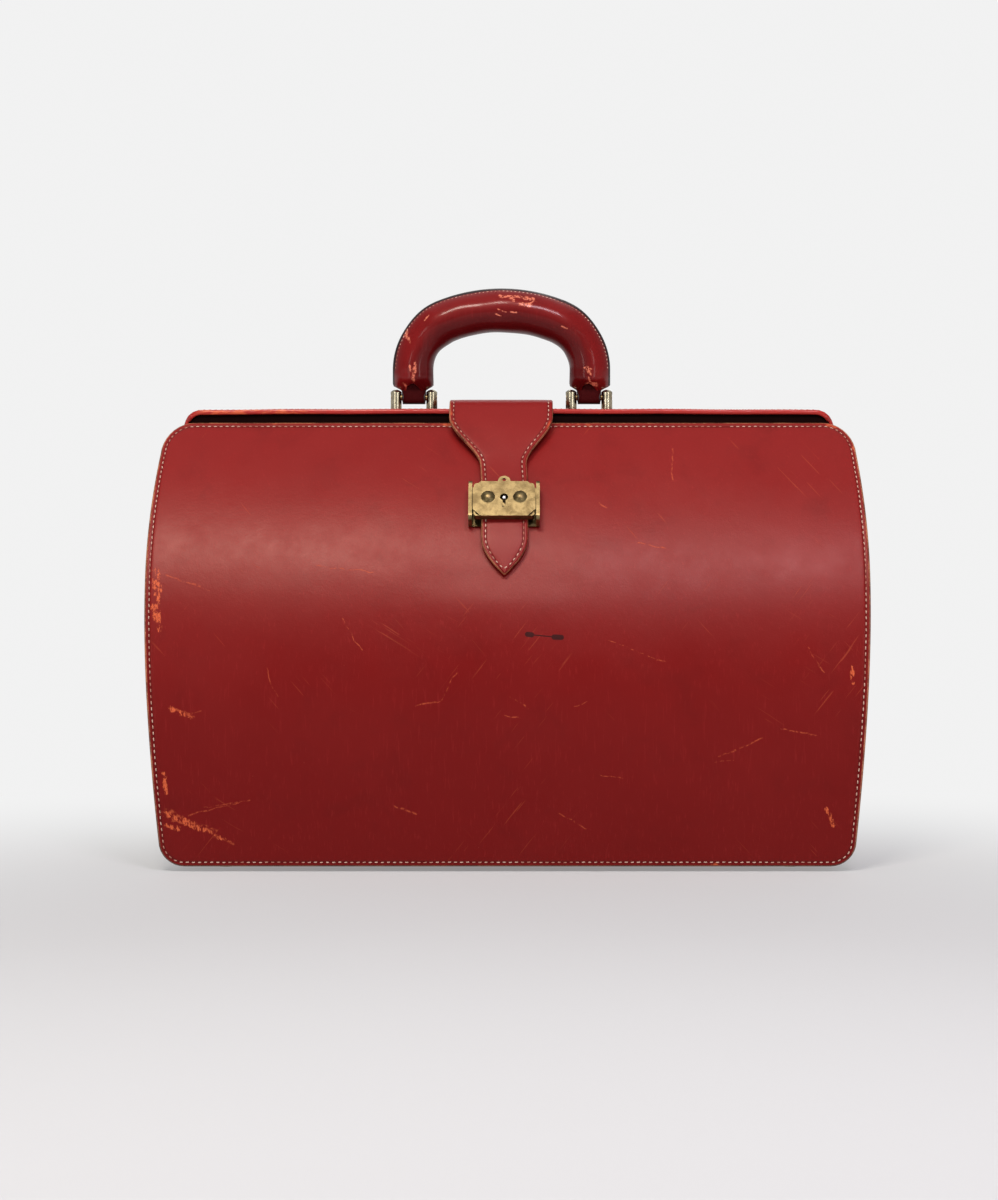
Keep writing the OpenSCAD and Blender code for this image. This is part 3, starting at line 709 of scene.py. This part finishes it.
def perimeter(i):
    """The outline drawn in by i, once round: bottom, right side, top, left side."""
    right = right_outline(i)
    x0, z0 = right[0]
    x1, z1 = right[-1]
    loop = [(lerp(-x0, x0, k / COLUMNS), z0) for k in range(COLUMNS + 1)]
    loop += right[1:]
    loop += [(lerp(x1, -x1, k / COLUMNS), z1) for k in range(1, COLUMNS + 1)]
    loop += [(-x, z) for x, z in right[-2:0:-1]]
    return loop


# How far in from the edge, and how far out of the outer face, each ring of the rounded edge lies.
EDGE_RINGS = [(4.5, 0.0), (3.8, -0.10), (3.4, -0.26), (3.0, -0.34), (2.6, -0.26), (2.2, -0.08),
              (1.7, 0.0), (1.2, -0.08), (0.7, -0.34), (0.3, -0.75), (0.08, -1.2), (0.0, -1.6),
              (0.06, -2.1), (0.35, -2.6), (1.0, -2.95)]
# The ring where the dyed skin ends and the cut edge shows.
RAW_FROM = 7


def make_wall(name, side, replaced):
    b = Builder()

    def face(d):
        """The wall's flat part, d in front of its outer face."""
        rows = []
        for x, z in right_outline(GRID_IN):
            from_end = min(z - BOTTOM_Z, TOP_Z - z)
            rows.append([b.add(wall_point(u, z, d, side), min(20, x - abs(u) + GRID_IN, from_end))
                         for u in steps(-x, x, COLUMNS)])
        b.grid(rows)
        return border(rows)

    outer = face(0.0)
    rings = [[b.add(wall_point(x, z, d, side), i) for x, z in perimeter(i)] for i, d in EDGE_RINGS]
    inner = face(-PANEL_T)
    loops = [outer] + rings + [inner]
    for n, (r0, r1) in enumerate(zip(loops, loops[1:])):
        b.grid([r0, r1], 1 if RAW_FROM < n < len(loops) - 2 else 0, closed=True)
    wall = b.make(name, [body_leather, edge_leather])
    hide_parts(*replaced)
    fold_with(wall)
    loop = perimeter(STITCH_IN)
    loop.append(loop[0])
    path = [wall_point(x, z, -0.22, side) for x, z in loop]
    seam = stitch_run(name + "_stitches", path, [wall_normal(z, side) for x, z in loop], skip=0.006)
    fold_with(seam)
    make_welt(name.replace("panel", "welt"), side)


WELT_TOP_Z = 264.0


def make_welt(name, side):
    """The gusset's turned-out edge, sewn behind the wall's edge round the sides and the bottom."""
    section = [(9.2, -3.1), (0.9, -3.1), (0.35, -3.3), (0.12, -3.8), (0.1, -4.6), (0.35, -5.1), (0.9, -5.3),
               (9.2, -5.4)]
    b = Builder()
    loops = []
    count = len([z for x, z in right_outline(0) if z < WELT_TOP_Z])
    for i, d in section:
        right = right_outline(i)[:count]
        x0, z0 = right[0]
        row = [(-x, z) for x, z in right[::-1]] + [(x, z0) for x in steps(-x0, x0, 24)[1:-1]] + right
        loops.append([b.add(wall_point(x, z, d, side), max(i, 0.0)) for x, z in row])
    b.grid(loops + loops[:1])
    b.face([r[0] for r in loops])
    b.face([r[-1] for r in loops][::-1])
    fold_with(b.make(name, [edge_leather]))


make_wall("front_panel_leather", -1, ["front_panel", "front_panel_upper"])
make_wall("rear_panel_leather", 1, ["rear_panel", "rear_panel_upper"])

# ---- gussets ----

LEG_FRONT_Y = 15.3
TUCK_X = 209.4
BOTTOM_EDGE_X = 186.0
HINGE_ROOM = 13.0
GUSSET_TOP_Z = 266.0
LINING_LOW_Z = 17.6
LINING_TOP_Z = 262.0
LINING_T = 0.8
LINING_GAP = 0.4


def gusset_x(y, z, half):
    """Outer face of the gusset at the bag's end: it dips in to the frame's legs and behind the hinge."""
    a = abs(y)
    x = half_w(z) - EDGE_OVER
    reach = smooth((z - 45) / 105)
    x -= max(0.0, x - TUCK_X) * reach * smooth((48 - a) / 31)
    behind = smooth((z - 108) / 36) * (1 - smooth((z - 184) / 12))
    x -= HINGE_ROOM * behind * smooth((23 - a) / 7)
    x += -half * 1.7 * smooth((26 - a) / 10) * smooth((z - 70) / 30)
    x += 0.5 * math.sin(z / 17 + y / 23) * smooth((a - 20) / 20) * smooth((depth(z) - 12 - a) / 15)
    return x


def gusset_stations(lining):
    """Up the end of the bag: x (None where gusset_x has it), z and the outward direction."""
    low = BOTTOM_Z + CORNER_LOW
    first, top = (LINING_LOW_Z, LINING_TOP_Z) if lining else (low, GUSSET_TOP_Z)
    up = [(None, z, 1, 0) for z in steps(first, top, int((top - first) / 5.2))]
    if lining:
        return up
    cx = half_w(low) - CORNER_LOW
    r = CORNER_LOW - EDGE_OVER
    corner = [(cx + r * c, low + r * s, c, s) for c, s in arc(-90, -12, 6)]
    return [(BOTTOM_EDGE_X, low - r, 0, -1)] + corner + up


def gusset_half(name, m, half, lining=False):
    """Half of one end's gusset or of its lining, from the wall to the middle."""
    inset, thick, from_wall = (GUSSET_T + LINING_GAP, LINING_T, 0.9) if lining else (0.0, GUSSET_T, 2.5)
    b = Builder()

    def surface(back):
        rows = []
        for sx, z, nx, nz in gusset_stations(lining):
            y_out = depth(z) - PANEL_T - from_wall
            at_leg = smooth((z - 187) / 9)
            y_in = LEG_FRONT_Y * at_leg - (1 - at_leg) * 4.0 * smooth((z - 80) / 20)
            y_mid = min(30.0, LEG_FRONT_Y + (y_out - LEG_FRONT_Y) * 0.5)
            row = []
            for y in steps(y_out, y_mid, 12) + steps(y_mid, y_in, 20)[1:]:
                x = (gusset_x(y, z, half) if sx is None else sx) - nx * (inset + back)
                row.append(b.add((m * x, half * y, z - nz * (inset + back)), min(20.0, y_out - y + 5)))
            rows.append(row)
        return rows

    b.sheet(surface(0.0), surface(thick))
    piece = b.make(name, [lining_mat if lining else gusset_leather])
    fold_with(piece)
    return piece


for m, where in ((-1, "left"), (1, "right")):
    for half, end in ((-1, "front"), (1, "rear")):
        web = gusset_half(f"{where}_gusset_leather_{end}", m, half)
        if half < 0:
            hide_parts(f"{where}_gusset", f"{where}_gusset_front")
        else:
            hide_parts(f"{where}_gusset_rear")
        gusset_half(f"{where}_end_lining_{end}", m, half, lining=True)

# ---- bottom and lining ----


def flat_sheet(name, half_x, half_y, z, thick, materials, bow=0.0):
    """A flat piece of leather or cloth with soft edges, bowed downwards in the middle."""
    b = Builder()

    def rows(inset, share):
        """A grid drawn in by inset, at a share of the thickness."""
        return [[(u * (half_x - inset), v * (half_y - inset),
                  z - bow * (1 - u * u) * (1 - v * v) + thick * share)
                 for u in steps(-1, 1, 60)] for v in steps(-1, 1, 28)]

    under, upper = ([[b.add(p) for p in r] for r in rows(0.8, share)] for share in (0, 1))
    b.grid(under)
    b.grid(upper)
    rings = [[b.add(p, 0.0) for p in border(rows(inset, share))]
             for inset, share in ((0.2, 0.12), (0.0, 0.4), (0.0, 0.6), (0.2, 0.88))]
    b.grid([border(under)] + rings + [border(upper)], len(materials) - 1, closed=True)
    return b.make(name, materials)


def make_wall_lining(side, end):
    b = Builder()

    def face(d):
        rows = []
        for z in steps(LINING_LOW_Z, 268.0, 50):
            w = half_w(z) - 12 - 11 * smooth((z - 245) / 23)
            rows.append([b.add(wall_point(u, z, d - 2.3 * smooth((abs(u) - w + 8) / 6), side))
                         for u in steps(-w, w, 60)])
        return rows

    b.sheet(face(-PANEL_T - 0.5), face(-PANEL_T - 0.5 - LINING_T))
    cloth = b.make(f"{end}_wall_lining", [lining_mat])
    fold_with(cloth)


bottom = flat_sheet("bottom_leather", 188.0, 91.3, 9.7, GUSSET_T, [gusset_leather, edge_leather])
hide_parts("bottom_panel")
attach(bottom, "bag_body")
floor_lining = flat_sheet("floor_lining", 206.5, 94.0, 17.0, LINING_T, [lining_mat], bow=-0.6)
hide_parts("lining")
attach(floor_lining, "bag_body")
make_wall_lining(-1, "front")
make_wall_lining(1, "rear")

# ---- leather over the mouth frame ----


LIP_DEPTH_SIDE, LIP_DEPTH_TOP = 15.0, 18.0
LIP_STITCH_SIDE, LIP_STITCH_TOP = 12.6, 15.2
LIP_ROUND = 1.25
JAW_GAP = 0.12


def frame_path():
    """The frame's outer edge from the right leg's foot over the top to the left, with inward directions."""
    cx, cz = FRAME_HALF_W - RIM_CORNER, FRAME_TOP_Z - RIM_CORNER
    pts = [(FRAME_HALF_W, z, -1.0, 0.0) for z in steps(RIM_FOOT_Z, cz - 4, 18)]
    for c, s in arc(0, 90, 12):
        pts.append((cx + RIM_CORNER * c, cz + RIM_CORNER * s, -c, -s))
    pts += [(x, FRAME_TOP_Z, 0.0, -1.0) for x in steps(cx - 4, 0, 34)]
    return pts + [(-x, z, -ix, iz) for x, z, ix, iz in pts[-2::-1]]


def rim_section(y_out):
    """Inset and depth round the lip's section, with soft corners."""
    near, far = LIP_ROUND, RIM_T - LIP_ROUND
    front, back = LIP_ROUND - y_out, -JAW_GAP - LIP_ROUND
    section = []
    for i, y, first in ((near, front, 270), (near, back, 180), (far, back, 90), (far, front, 0)):
        for c, s in arc(first, first - 90, 4):
            section.append((i + LIP_ROUND * c, y + LIP_ROUND * s))
    return section


def make_rim(name, side, node):
    """The leather lip round one jaw: it bulges a little on its outside and rises in the middle of the top."""
    b = Builder()
    rows, seam_path, seam_normals = [], [], []
    for x, z, ix, iz in frame_path():
        on_top = smooth((z - 281) / 4)
        rise = (0.7 * (1 - (x / FRAME_HALF_W) ** 2) + 0.12 * math.sin(x / 13.0)) * on_top
        y_out = lerp(LIP_DEPTH_SIDE, LIP_DEPTH_TOP, on_top)
        row = []
        for i, y in rim_section(y_out):
            puff = 0.35 * math.sin(math.pi * (y + JAW_GAP) / (JAW_GAP - y_out)) if i < 0.3 else 0.0
            row.append(b.add((x + ix * (i - puff), -side * y, z + iz * (i - puff) + rise), 12.0))
        rows.append(row)
        seam_y = side * lerp(LIP_STITCH_SIDE, LIP_STITCH_TOP, on_top)
        seam_path.append((x - ix * 0.02, seam_y, z - iz * 0.02 + rise))
        seam_normals.append((-ix, 0, -iz))
    b.grid(rows, closed=True)
    b.face(rows[0])
    b.face(rows[-1][::-1])
    rim = b.make(name, [rim_leather])
    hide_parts(node)
    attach(rim, jaw(side))
    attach(stitch_run(name + "_stitches", seam_path, seam_normals, width=0.75, length=2.3), jaw(side))


FACING_HALF_W = 207.8
FACING_CORNER_X = 199.0
FACING_R = 10.2
FACING_LOW_Z, FACING_TOP_Z = 264.0, 286.4


def make_facing(name, side):
    """The leather on the frame's face, near black as painted shade for the recess between the wall and the
    lip.
    """
    b = Builder()

    def face(y):
        rows = []
        for x in steps(-FACING_HALF_W, FACING_HALF_W, 120):
            past = max(0.0, abs(x) - FACING_CORNER_X)
            top = FACING_TOP_Z - FACING_R + math.sqrt(FACING_R ** 2 - past ** 2)
            rows.append([b.add((x, side * y, z)) for z in steps(FACING_LOW_Z, top, 6)])
        return rows

    b.sheet(face(14.7), face(15.4))
    facing = b.make(name, [recess_painted_shade])
    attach(facing, jaw(side))


make_facing("front_mouth_facing", -1)
make_facing("rear_mouth_facing", 1)
make_rim("front_rim_leather", -1, "front_rim")
make_rim("rear_rim_leather", 1, "rear_rim")

# ---- closing strap, with its tail behind ----


STRAP_X = -4.9
TAIL_CORNER = 9.0
SEAM_IN = 2.8


def strap_gap(z):
    """How far the strap's inner face stands off the front wall."""
    if z < 205:
        return 2.6 - 1.1 * (205 - z) / STRAP_TIP_LENGTH
    return 2.6 + 3.6 * smooth((z - 245) / (STRAP_JOIN_Z - 245))


def tail_gap(z):
    """How far the strap's tail stands off the rear wall."""
    return 6.2 * smooth((z - 258) / (STRAP_JOIN_Z - 258)) + 0.3


def strap_half(z):
    if z > STRAP_TIP_Z + STRAP_TIP_LENGTH:
        return STRAP_NECK_HALF_W + (STRAP_HALF_W - STRAP_NECK_HALF_W) * smooth((z - 250) / 28)
    return STRAP_NECK_HALF_W * (1 - ((STRAP_TIP_Z + STRAP_TIP_LENGTH - z) / STRAP_TIP_LENGTH) ** 1.8)


def strap_centre(z):
    return STRAP_X + 2.9 * smooth((278 - z) / 50)


# How far above its point each row of the strap's tip lies, of the tip's length.
TIP_STEPS = (0.97, 0.88, 0.78, 0.68, 0.58, 0.48, 0.38, 0.29, 0.21, 0.14, 0.08, 0.04, 0.015)


def strap_stations():
    """(y, z) of the inner face, outward direction, centre x and half width, from the tail to the tip."""
    bend = arc(0, STRAP_BEND_END - 5, 6)
    out = []
    for z in steps(STRAP_TAIL_Z, STRAP_TAIL_Z + 9, 9) + steps(STRAP_TAIL_Z + 11, STRAP_JOIN_Z, 14):
        g, a = tail_gap(z), lean(z)
        round_off = max(0.0, TAIL_CORNER - (z - STRAP_TAIL_Z))
        w = STRAP_HALF_W - TAIL_CORNER + math.sqrt(max(0.0, TAIL_CORNER ** 2 - round_off ** 2))
        out.append((depth(z) + g * math.cos(a), z + g * math.sin(a), math.cos(a), math.sin(a), STRAP_X, w))

    def over_bend(side, c, s):
        out.append((side * (STRAP_BEND_Y + STRAP_BEND_R * s), STRAP_UNDER_Z - STRAP_BEND_R * (1 - c),
                    side * s, c, STRAP_X, STRAP_HALF_W))

    for c, s in bend[::-1]:
        over_bend(1, c, s)
    for y in steps(9.5, -9.5, 14):
        out.append((y, STRAP_UNDER_Z, 0.0, 1.0, STRAP_X, STRAP_HALF_W))
    for c, s in bend:
        over_bend(-1, c, s)
    tip = [STRAP_TIP_Z + STRAP_TIP_LENGTH * t for t in TIP_STEPS]
    for z in steps(STRAP_JOIN_Z, 206, 44) + tip:
        g, a = strap_gap(z), lean(z)
        out.append((-depth(z) - g * math.cos(a), z + g * math.sin(a), -math.cos(a), math.sin(a),
                    strap_centre(z), strap_half(z)))
    return out


# In from the strap's edge, and out from its inner face, over the outer side.
STRAP_TOP = [(0.0, 1.8), (0.08, 2.6), (0.35, 3.2), (0.9, 3.55), (1.7, 3.62), (2.2, 3.52), (2.5, 3.38),
             (2.8, 3.3), (3.1, 3.38), (3.4, 3.52), (4.0, 3.62), (6.0, 3.66)]
STRAP_UNDER = [(0.08, 1.0), (0.35, 0.4), (0.9, 0.05), (1.7, 0.0), (6.0, 0.0)]
STRAP_MID_T = 3.7


def make_strap():
    """The strap's leather in one piece from its tail on the rear wall to its tip on the front."""
    b = Builder()
    stations = strap_stations()
    rows = []
    left_line, right_line, line_normals = [], [], []
    for n, (y, z, ny, nz, cx, w) in enumerate(stations):
        squeeze = min(1.0, w / 9.0)
        blunt = 0.6 if n == 0 else 1.0

        def ring_point(x, d):
            d = 1.8 + (d - 1.8) * blunt
            return b.add((cx + x, y + ny * d, z + nz * d), min(20.0, (w - abs(x)) / max(0.3, squeeze)))

        inner = w - 6.0 * squeeze
        row = [ring_point(-w + e * squeeze, d) for e, d in STRAP_TOP]
        row += [ring_point(x, STRAP_MID_T) for x in steps(-inner, inner, 8)[1:-1]]
        row += [ring_point(w - e * squeeze, d) for e, d in STRAP_TOP[::-1] + STRAP_UNDER]
        row += [ring_point(x, 0.0) for x in steps(inner, -inner, 8)[1:-1]]
        row += [ring_point(-w + e * squeeze, d) for e, d in STRAP_UNDER[::-1]]
        rows.append(row)
        if w > 4.5 and n > 2:
            lift = lerp(3.74, 3.38, smooth((w - 4.5) / 4.0))
            for line, sign in ((left_line, -1), (right_line, 1)):
                line.append((cx + sign * (w - SEAM_IN), y + ny * lift, z + nz * lift))
            line_normals.append((0, ny, nz))
    count = len(rows[0])
    right_cut = 2 * len(STRAP_TOP) + 4
    cut_edge = {*range(3), *range(right_cut, right_cut + 6), *range(count - 3, count)}
    for r0, r1 in zip(rows, rows[1:]):
        for k in range(count):
            after = (k + 1) % count
            b.quad(r0[k], r0[after], r1[after], r1[k], 1 if k in cut_edge else 0)
    b.face(rows[0][::-1], 1)
    b.face(rows[-1], 1)
    strap = b.make("closing_strap_leather", [strap_leather, edge_leather])
    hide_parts("strap", "strap_tail")
    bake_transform(strap)
    y, z, ny, nz, cx, w = stations[-4]
    path = left_line + [(cx, y + ny * 3.8, z + nz * 3.8)] + right_line[::-1]
    normals = line_normals + [(0, ny, nz)] + line_normals[::-1]
    seam = stitch_run("closing_strap_stitches", path, normals)
    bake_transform(seam)
    y, z, ny, nz, cx, w = stations[3]
    across = [(cx + x, y + ny * 3.38, z + nz * 3.38) for x in steps(SEAM_IN - w, w - SEAM_IN, 10)]
    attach(stitch_run("strap_tail_stitches", across, [(0, ny, nz)] * len(across)), "rear_jaw")


make_strap()

# ---- handle ----

CORNER_X = HANDLE_HALF_W - HANDLE_CORNER
TOP_SPAN = 20.0
SPAN_SIN, SPAN_COS = math.sin(math.radians(TOP_SPAN)), math.cos(math.radians(TOP_SPAN))
LINK = 2.0
TOP_R = (CORNER_X + HANDLE_CORNER * SPAN_SIN - LINK * SPAN_COS) / SPAN_SIN
CORNER_Z = HANDLE_TOP_Z - HANDLE_CORNER * SPAN_COS - LINK * SPAN_SIN - TOP_R * (1 - SPAN_COS)


def arch_stations():
    """Centreline of the grip above its ends: x, z, the outward direction and how near the top it is."""
    half = []
    for a in steps(0, 90 - TOP_SPAN, 44):
        c, s = math.cos(math.radians(a)), math.sin(math.radians(a))
        half.append((CORNER_X + HANDLE_CORNER * c, CORNER_Z + HANDLE_CORNER * s, c, s, smooth((a - 30) / 30)))
    for c, s in arc(90 - TOP_SPAN, 90, 40)[1:]:
        half.append((TOP_R * c, HANDLE_TOP_Z - TOP_R + TOP_R * s, c, s, 1.0))
    return half + [(-x, z, -nx, nz, t) for x, z, nx, nz, t in half[-2::-1]]


def grip_radius(phi, top, s):
    """Radius of the grip's section: stuffed round, with a sewn fin along its outside and soft lumps."""
    r = lerp(12.8, 13.85, top)
    fin = math.exp(-(phi / math.radians(11)) ** 2)
    lumps = 0.16 * math.sin(s * 0.11 + 2 * phi) + 0.10 * math.sin(s * 0.23 + 3 * phi + 1.0)
    return r + 1.15 * fin + lumps * (1 - fin)


SECTION = [a if a <= math.pi else a - 2 * math.pi for a in around(64)]
LEG_STEPS = (0.0, 0.03, 0.06, 0.1, 0.15, 0.2, 0.26, 0.33, 0.4, 0.5, 0.6, 0.7, 0.8, 0.9)
SEAM_ANGLE = math.radians(21)
# Up the tongue between the posts: height, and width against its middle.
TONGUE = ((292.7, 0.35), (292.75, 0.62), (293.1, 0.84), (293.9, 0.97), (295.5, 1.0), (299, 1.0), (303, 1.0),
          (307, 0.98), (311, 0.9))


def petal_z(phi, sign):
    """Height of the grip's cut lower edge: a rounded petal on the outer and the inner side."""
    petal = 8.6 * abs(math.cos(phi)) ** 1.2
    return 305.8 - petal + 0.45 * math.sin(3 * phi + sign) + 0.25 * math.sin(7 * phi + 2 * sign)


def make_grip():
    b = Builder()
    outer = []

    def leg_point(phi, z, sign, less, edge):
        wide, deep = smooth((z - 300.6) / 4.0), smooth((z - 301.5) / 8.0)
        r = grip_radius(phi, 0.0, CORNER_Z - z)
        rx, ry = lerp(7.9, r, wide) - less, lerp(7.0, r, deep) - less
        outer.append(0.5 + 0.5 * math.cos(phi) * rx / (r + 0.001))
        x = HANDLE_X + sign * (HANDLE_HALF_W + rx * math.cos(phi))
        return b.add((x, HANDLE_Y - ry * math.sin(phi), z), edge)

    def leg_rows(sign):
        """Rows from the scalloped lower edge of the grip's leather up to the foot of the arch."""
        rows = [[leg_point(phi, petal_z(phi, sign) + 0.5, sign, 1.3, 0.0) for phi in SECTION]]
        for t in LEG_STEPS:
            less = 0.4 if t == 0.0 else 0.0
            rows.append([leg_point(phi, lerp(petal_z(phi, sign), CORNER_Z, t), sign, less, 30.0 * t)
                         for phi in SECTION])
        return rows

    def on_grip(phi, station, s, sunk=0.0):
        x, z, nx, nz, top = station
        r = grip_radius(phi, top, s) - sunk
        out, forward = r * math.cos(phi), r * math.sin(phi)
        return (HANDLE_X + x + nx * out, HANDLE_Y - forward, z + nz * out)

    rows = leg_rows(1)
    arch = arch_stations()
    s = 0.0
    seams = {1: [], -1: []}
    for n, station in enumerate(arch):
        if n:
            s += math.hypot(station[0] - arch[n - 1][0], station[1] - arch[n - 1][1])
        outer.extend(0.5 + 0.5 * math.cos(phi) for phi in SECTION)
        rows.append([b.add(on_grip(phi, station, s)) for phi in SECTION])
        for sign, line in seams.items():
            line.append(on_grip(sign * SEAM_ANGLE, station, s, 0.05))
    rows += leg_rows(-1)[::-1]
    b.grid(rows, closed=True)
    grip = add_mesh("handle_grip_leather", b.verts, b.faces, [handle_leather], edge=b.edge, outer=outer)
    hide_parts("handle_grip", "handle_seam")
    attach(grip, "handle")
    for sign, name in ((1, "front"), (-1, "back")):
        normals = [(nx * 0.62, -sign * 0.78, nz * 0.62) for x, z, nx, nz, top in arch]
        seam = stitch_run(f"handle_stitches_{name}", seams[sign], normals, width=0.7, height=0.45, length=1.6,
                          pitch=2.6)
        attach(seam, "handle")


def make_tongue(name, sign):
    """The dark leather tongue round an end eye of the handle, between the posts."""
    b = Builder()
    rows = []
    for z, k in TONGUE:
        row = []
        for phi in around(28):
            c, s = math.cos(phi), math.sin(phi)
            x = 7.95 * k * math.copysign(abs(c) ** 0.5, c)
            y = 5.6 * k * math.copysign(abs(s) ** 0.75, s)
            row.append(b.add((HANDLE_X + sign * HANDLE_HALF_W + x, HANDLE_Y + y, z), 9.0))
        rows.append(row)
    b.grid(rows, closed=True)
    b.face(rows[0][::-1])
    b.face(rows[-1])
    tongue = b.make(name, [tongue_leather])
    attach(tongue, "handle")


make_grip()
make_tongue("handle_tongue_left", -1)
make_tongue("handle_tongue_right", 1)

# ---- CAD parts that keep their shape and get soft edges and a finish ----

# The finish and the bevel's width of each.
FINISH = {
    "lock_base": (lock_brass, 0.35), "lock_base_rivets": (lock_brass, 0.2), "lock_case": (lock_brass, 0.3),
    "lock_plate": (lock_brass, 0.4), "lock_rivets": (lock_brass, 0.2), "keyhole_pin": (pin_steel, 0.2),
    "lock_bolt": (pin_steel, 0.2), "lock_base_backing": (pin_steel, 0.2), "strap_backing": (pin_steel, 0.15),
    "front_frame": (frame_steel, 0.3), "rear_frame": (frame_steel, 0.3), "hinge_pins": (fitting_brass, 0.2),
    "handle_brackets": (fitting_brass, 0.35), "bracket_rivets": (fitting_brass, 0.2),
    "handle_pins": (lock_brass, 0.2), "strap_tail_rivets": (fitting_brass, 0.2),
    "handle_core": (frame_steel, 0.2), "handle_eyes": (frame_steel, 0.3), "feet": (fitting_brass, 0.4),
    "foot_washers": (fitting_brass, 0.2), "base_board": (board_mat, 0.5),
}
for name, (material, width) in FINISH.items():
    o = nodes[name]
    if not o.material_slots:
        o.data.materials.append(None)
    for slot in o.material_slots:
        slot.link = "OBJECT"
        slot.material = material
    bevel = o.modifiers.new("soft_edges", "BEVEL")
    bevel.width = width * MM
    bevel.segments = 2
    bevel.limit_method = "ANGLE"
    bevel.angle_limit = math.radians(50)

# ---- floor, light and camera ----

BACKDROP_COLOUR = (0.885, 0.885, 0.885, 1)
FLOOR_COLOUR = (0.589, 0.620, 0.638)
# Name, place, what it points at, both sizes, power and colour.
LIGHTS = (
    ("left_softbox", (-0.33, -1.25, 1.68), (-0.12, -0.08, 0.19), 0.50, 0.36, 21.0, (1.0, 0.90, 0.80)),
    ("right_softbox", (0.36, -1.30, 1.50), (0.14, -0.08, 0.18), 0.40, 0.28, 11.0, (1.0, 0.86, 0.95)),
    ("front_fill", (0.0, -2.6, 1.3), (0.0, 0.0, 0.15), 2.4, 0.8, 1.2, (1.0, 0.985, 0.97)),
    ("top_fill", (0.0, 0.3, 2.4), (0.0, 0.0, 0.2), 2.6, 2.6, 8.0, (0.97, 0.99, 1.0)),
    ("left_strip", (-0.62, -1.1, 0.36), (-0.06, 0.0, 0.31), 0.10, 0.45, 0.9, (1.0, 0.96, 0.92)),
    ("right_strip", (0.66, -1.02, 0.36), (0.05, 0.0, 0.31), 0.10, 0.45, 0.9, (1.0, 0.98, 0.98)),
    ("back_fill", (0.3, 2.4, 1.9), (0.0, 0.0, 0.15), 1.6, 0.8, 6.0, (1.0, 0.99, 0.98)),
)


def make_floor():
    """Pale paper that glows more and more away from the front of the bag: painted light that blends it into
    the backdrop's colour and lightens the bag's shadows on it.
    """
    mesh = bpy.data.meshes.new("floor")
    mesh.from_pydata([(-40, -40, 0), (40, -40, 0), (40, 40, 0), (-40, 40, 0)], [], [(0, 1, 2, 3)])
    floor = new_object("floor", mesh)
    s = Shader("glowing_pale_floor")
    from_front = s.vector("SUBTRACT", s.place(False), (0.0, -0.80, 0.0))
    # Painted light: the floor's own glow, which grows away from the bag's front.
    far = s.between(s.vector("LENGTH", from_front, None, "Value"), 0.48, 1.15)
    s.put(s.bsdf.inputs["Emission Color"], BACKDROP_COLOUR)
    s.put(s.bsdf.inputs["Emission Strength"], far)
    mesh.materials.append(s.finish(s.mix(far, FLOOR_COLOUR, (0.0, 0.0, 0.0)), 0.6, specular=0.0))


def soft_light(name, place, aim, size_x, size_y, power, colour):
    data = bpy.data.lights.new(name, "AREA")
    data.shape = "RECTANGLE"
    data.size, data.size_y = size_x, size_y
    data.energy = power
    data.color = colour
    o = new_object(name, data)
    o.location = place
    o.rotation_euler = (Vector(aim) - Vector(place)).to_track_quat("-Z", "Y").to_euler()


def make_world():
    """Dim even light on the bag, and a bright backdrop for the camera only."""
    world = bpy.data.worlds.new("studio")
    world.use_nodes = True
    tree = world.node_tree
    ambient = next(n for n in tree.nodes if n.type == "BACKGROUND")
    ambient.inputs["Color"].default_value = (0.93, 0.93, 0.94, 1)
    ambient.inputs["Strength"].default_value = 0.30
    backdrop = tree.nodes.new("ShaderNodeBackground")
    backdrop.inputs["Color"].default_value = BACKDROP_COLOUR
    seen = tree.nodes.new("ShaderNodeLightPath")
    pick = tree.nodes.new("ShaderNodeMixShader")
    out = next(n for n in tree.nodes if n.type == "OUTPUT_WORLD")
    tree.links.new(seen.outputs["Is Camera Ray"], pick.inputs[0])
    tree.links.new(ambient.outputs[0], pick.inputs[1])
    tree.links.new(backdrop.outputs[0], pick.inputs[2])
    tree.links.new(pick.outputs[0], out.inputs["Surface"])
    bpy.context.scene.world = world
    bpy.context.scene.view_settings.view_transform = "Standard"


def make_camera():
    data = bpy.data.cameras.new("camera")
    data.lens = 91.7
    data.shift_x = -0.0325
    data.shift_y = -0.1525
    camera = new_object("camera", data)
    camera.location = (0.019, -2.0, 0.2837)
    camera.rotation_euler = (math.radians(90), 0, 0)
    bpy.context.scene.camera = camera


make_floor()
for light in LIGHTS:
    soft_light(*light)
make_world()
make_camera()
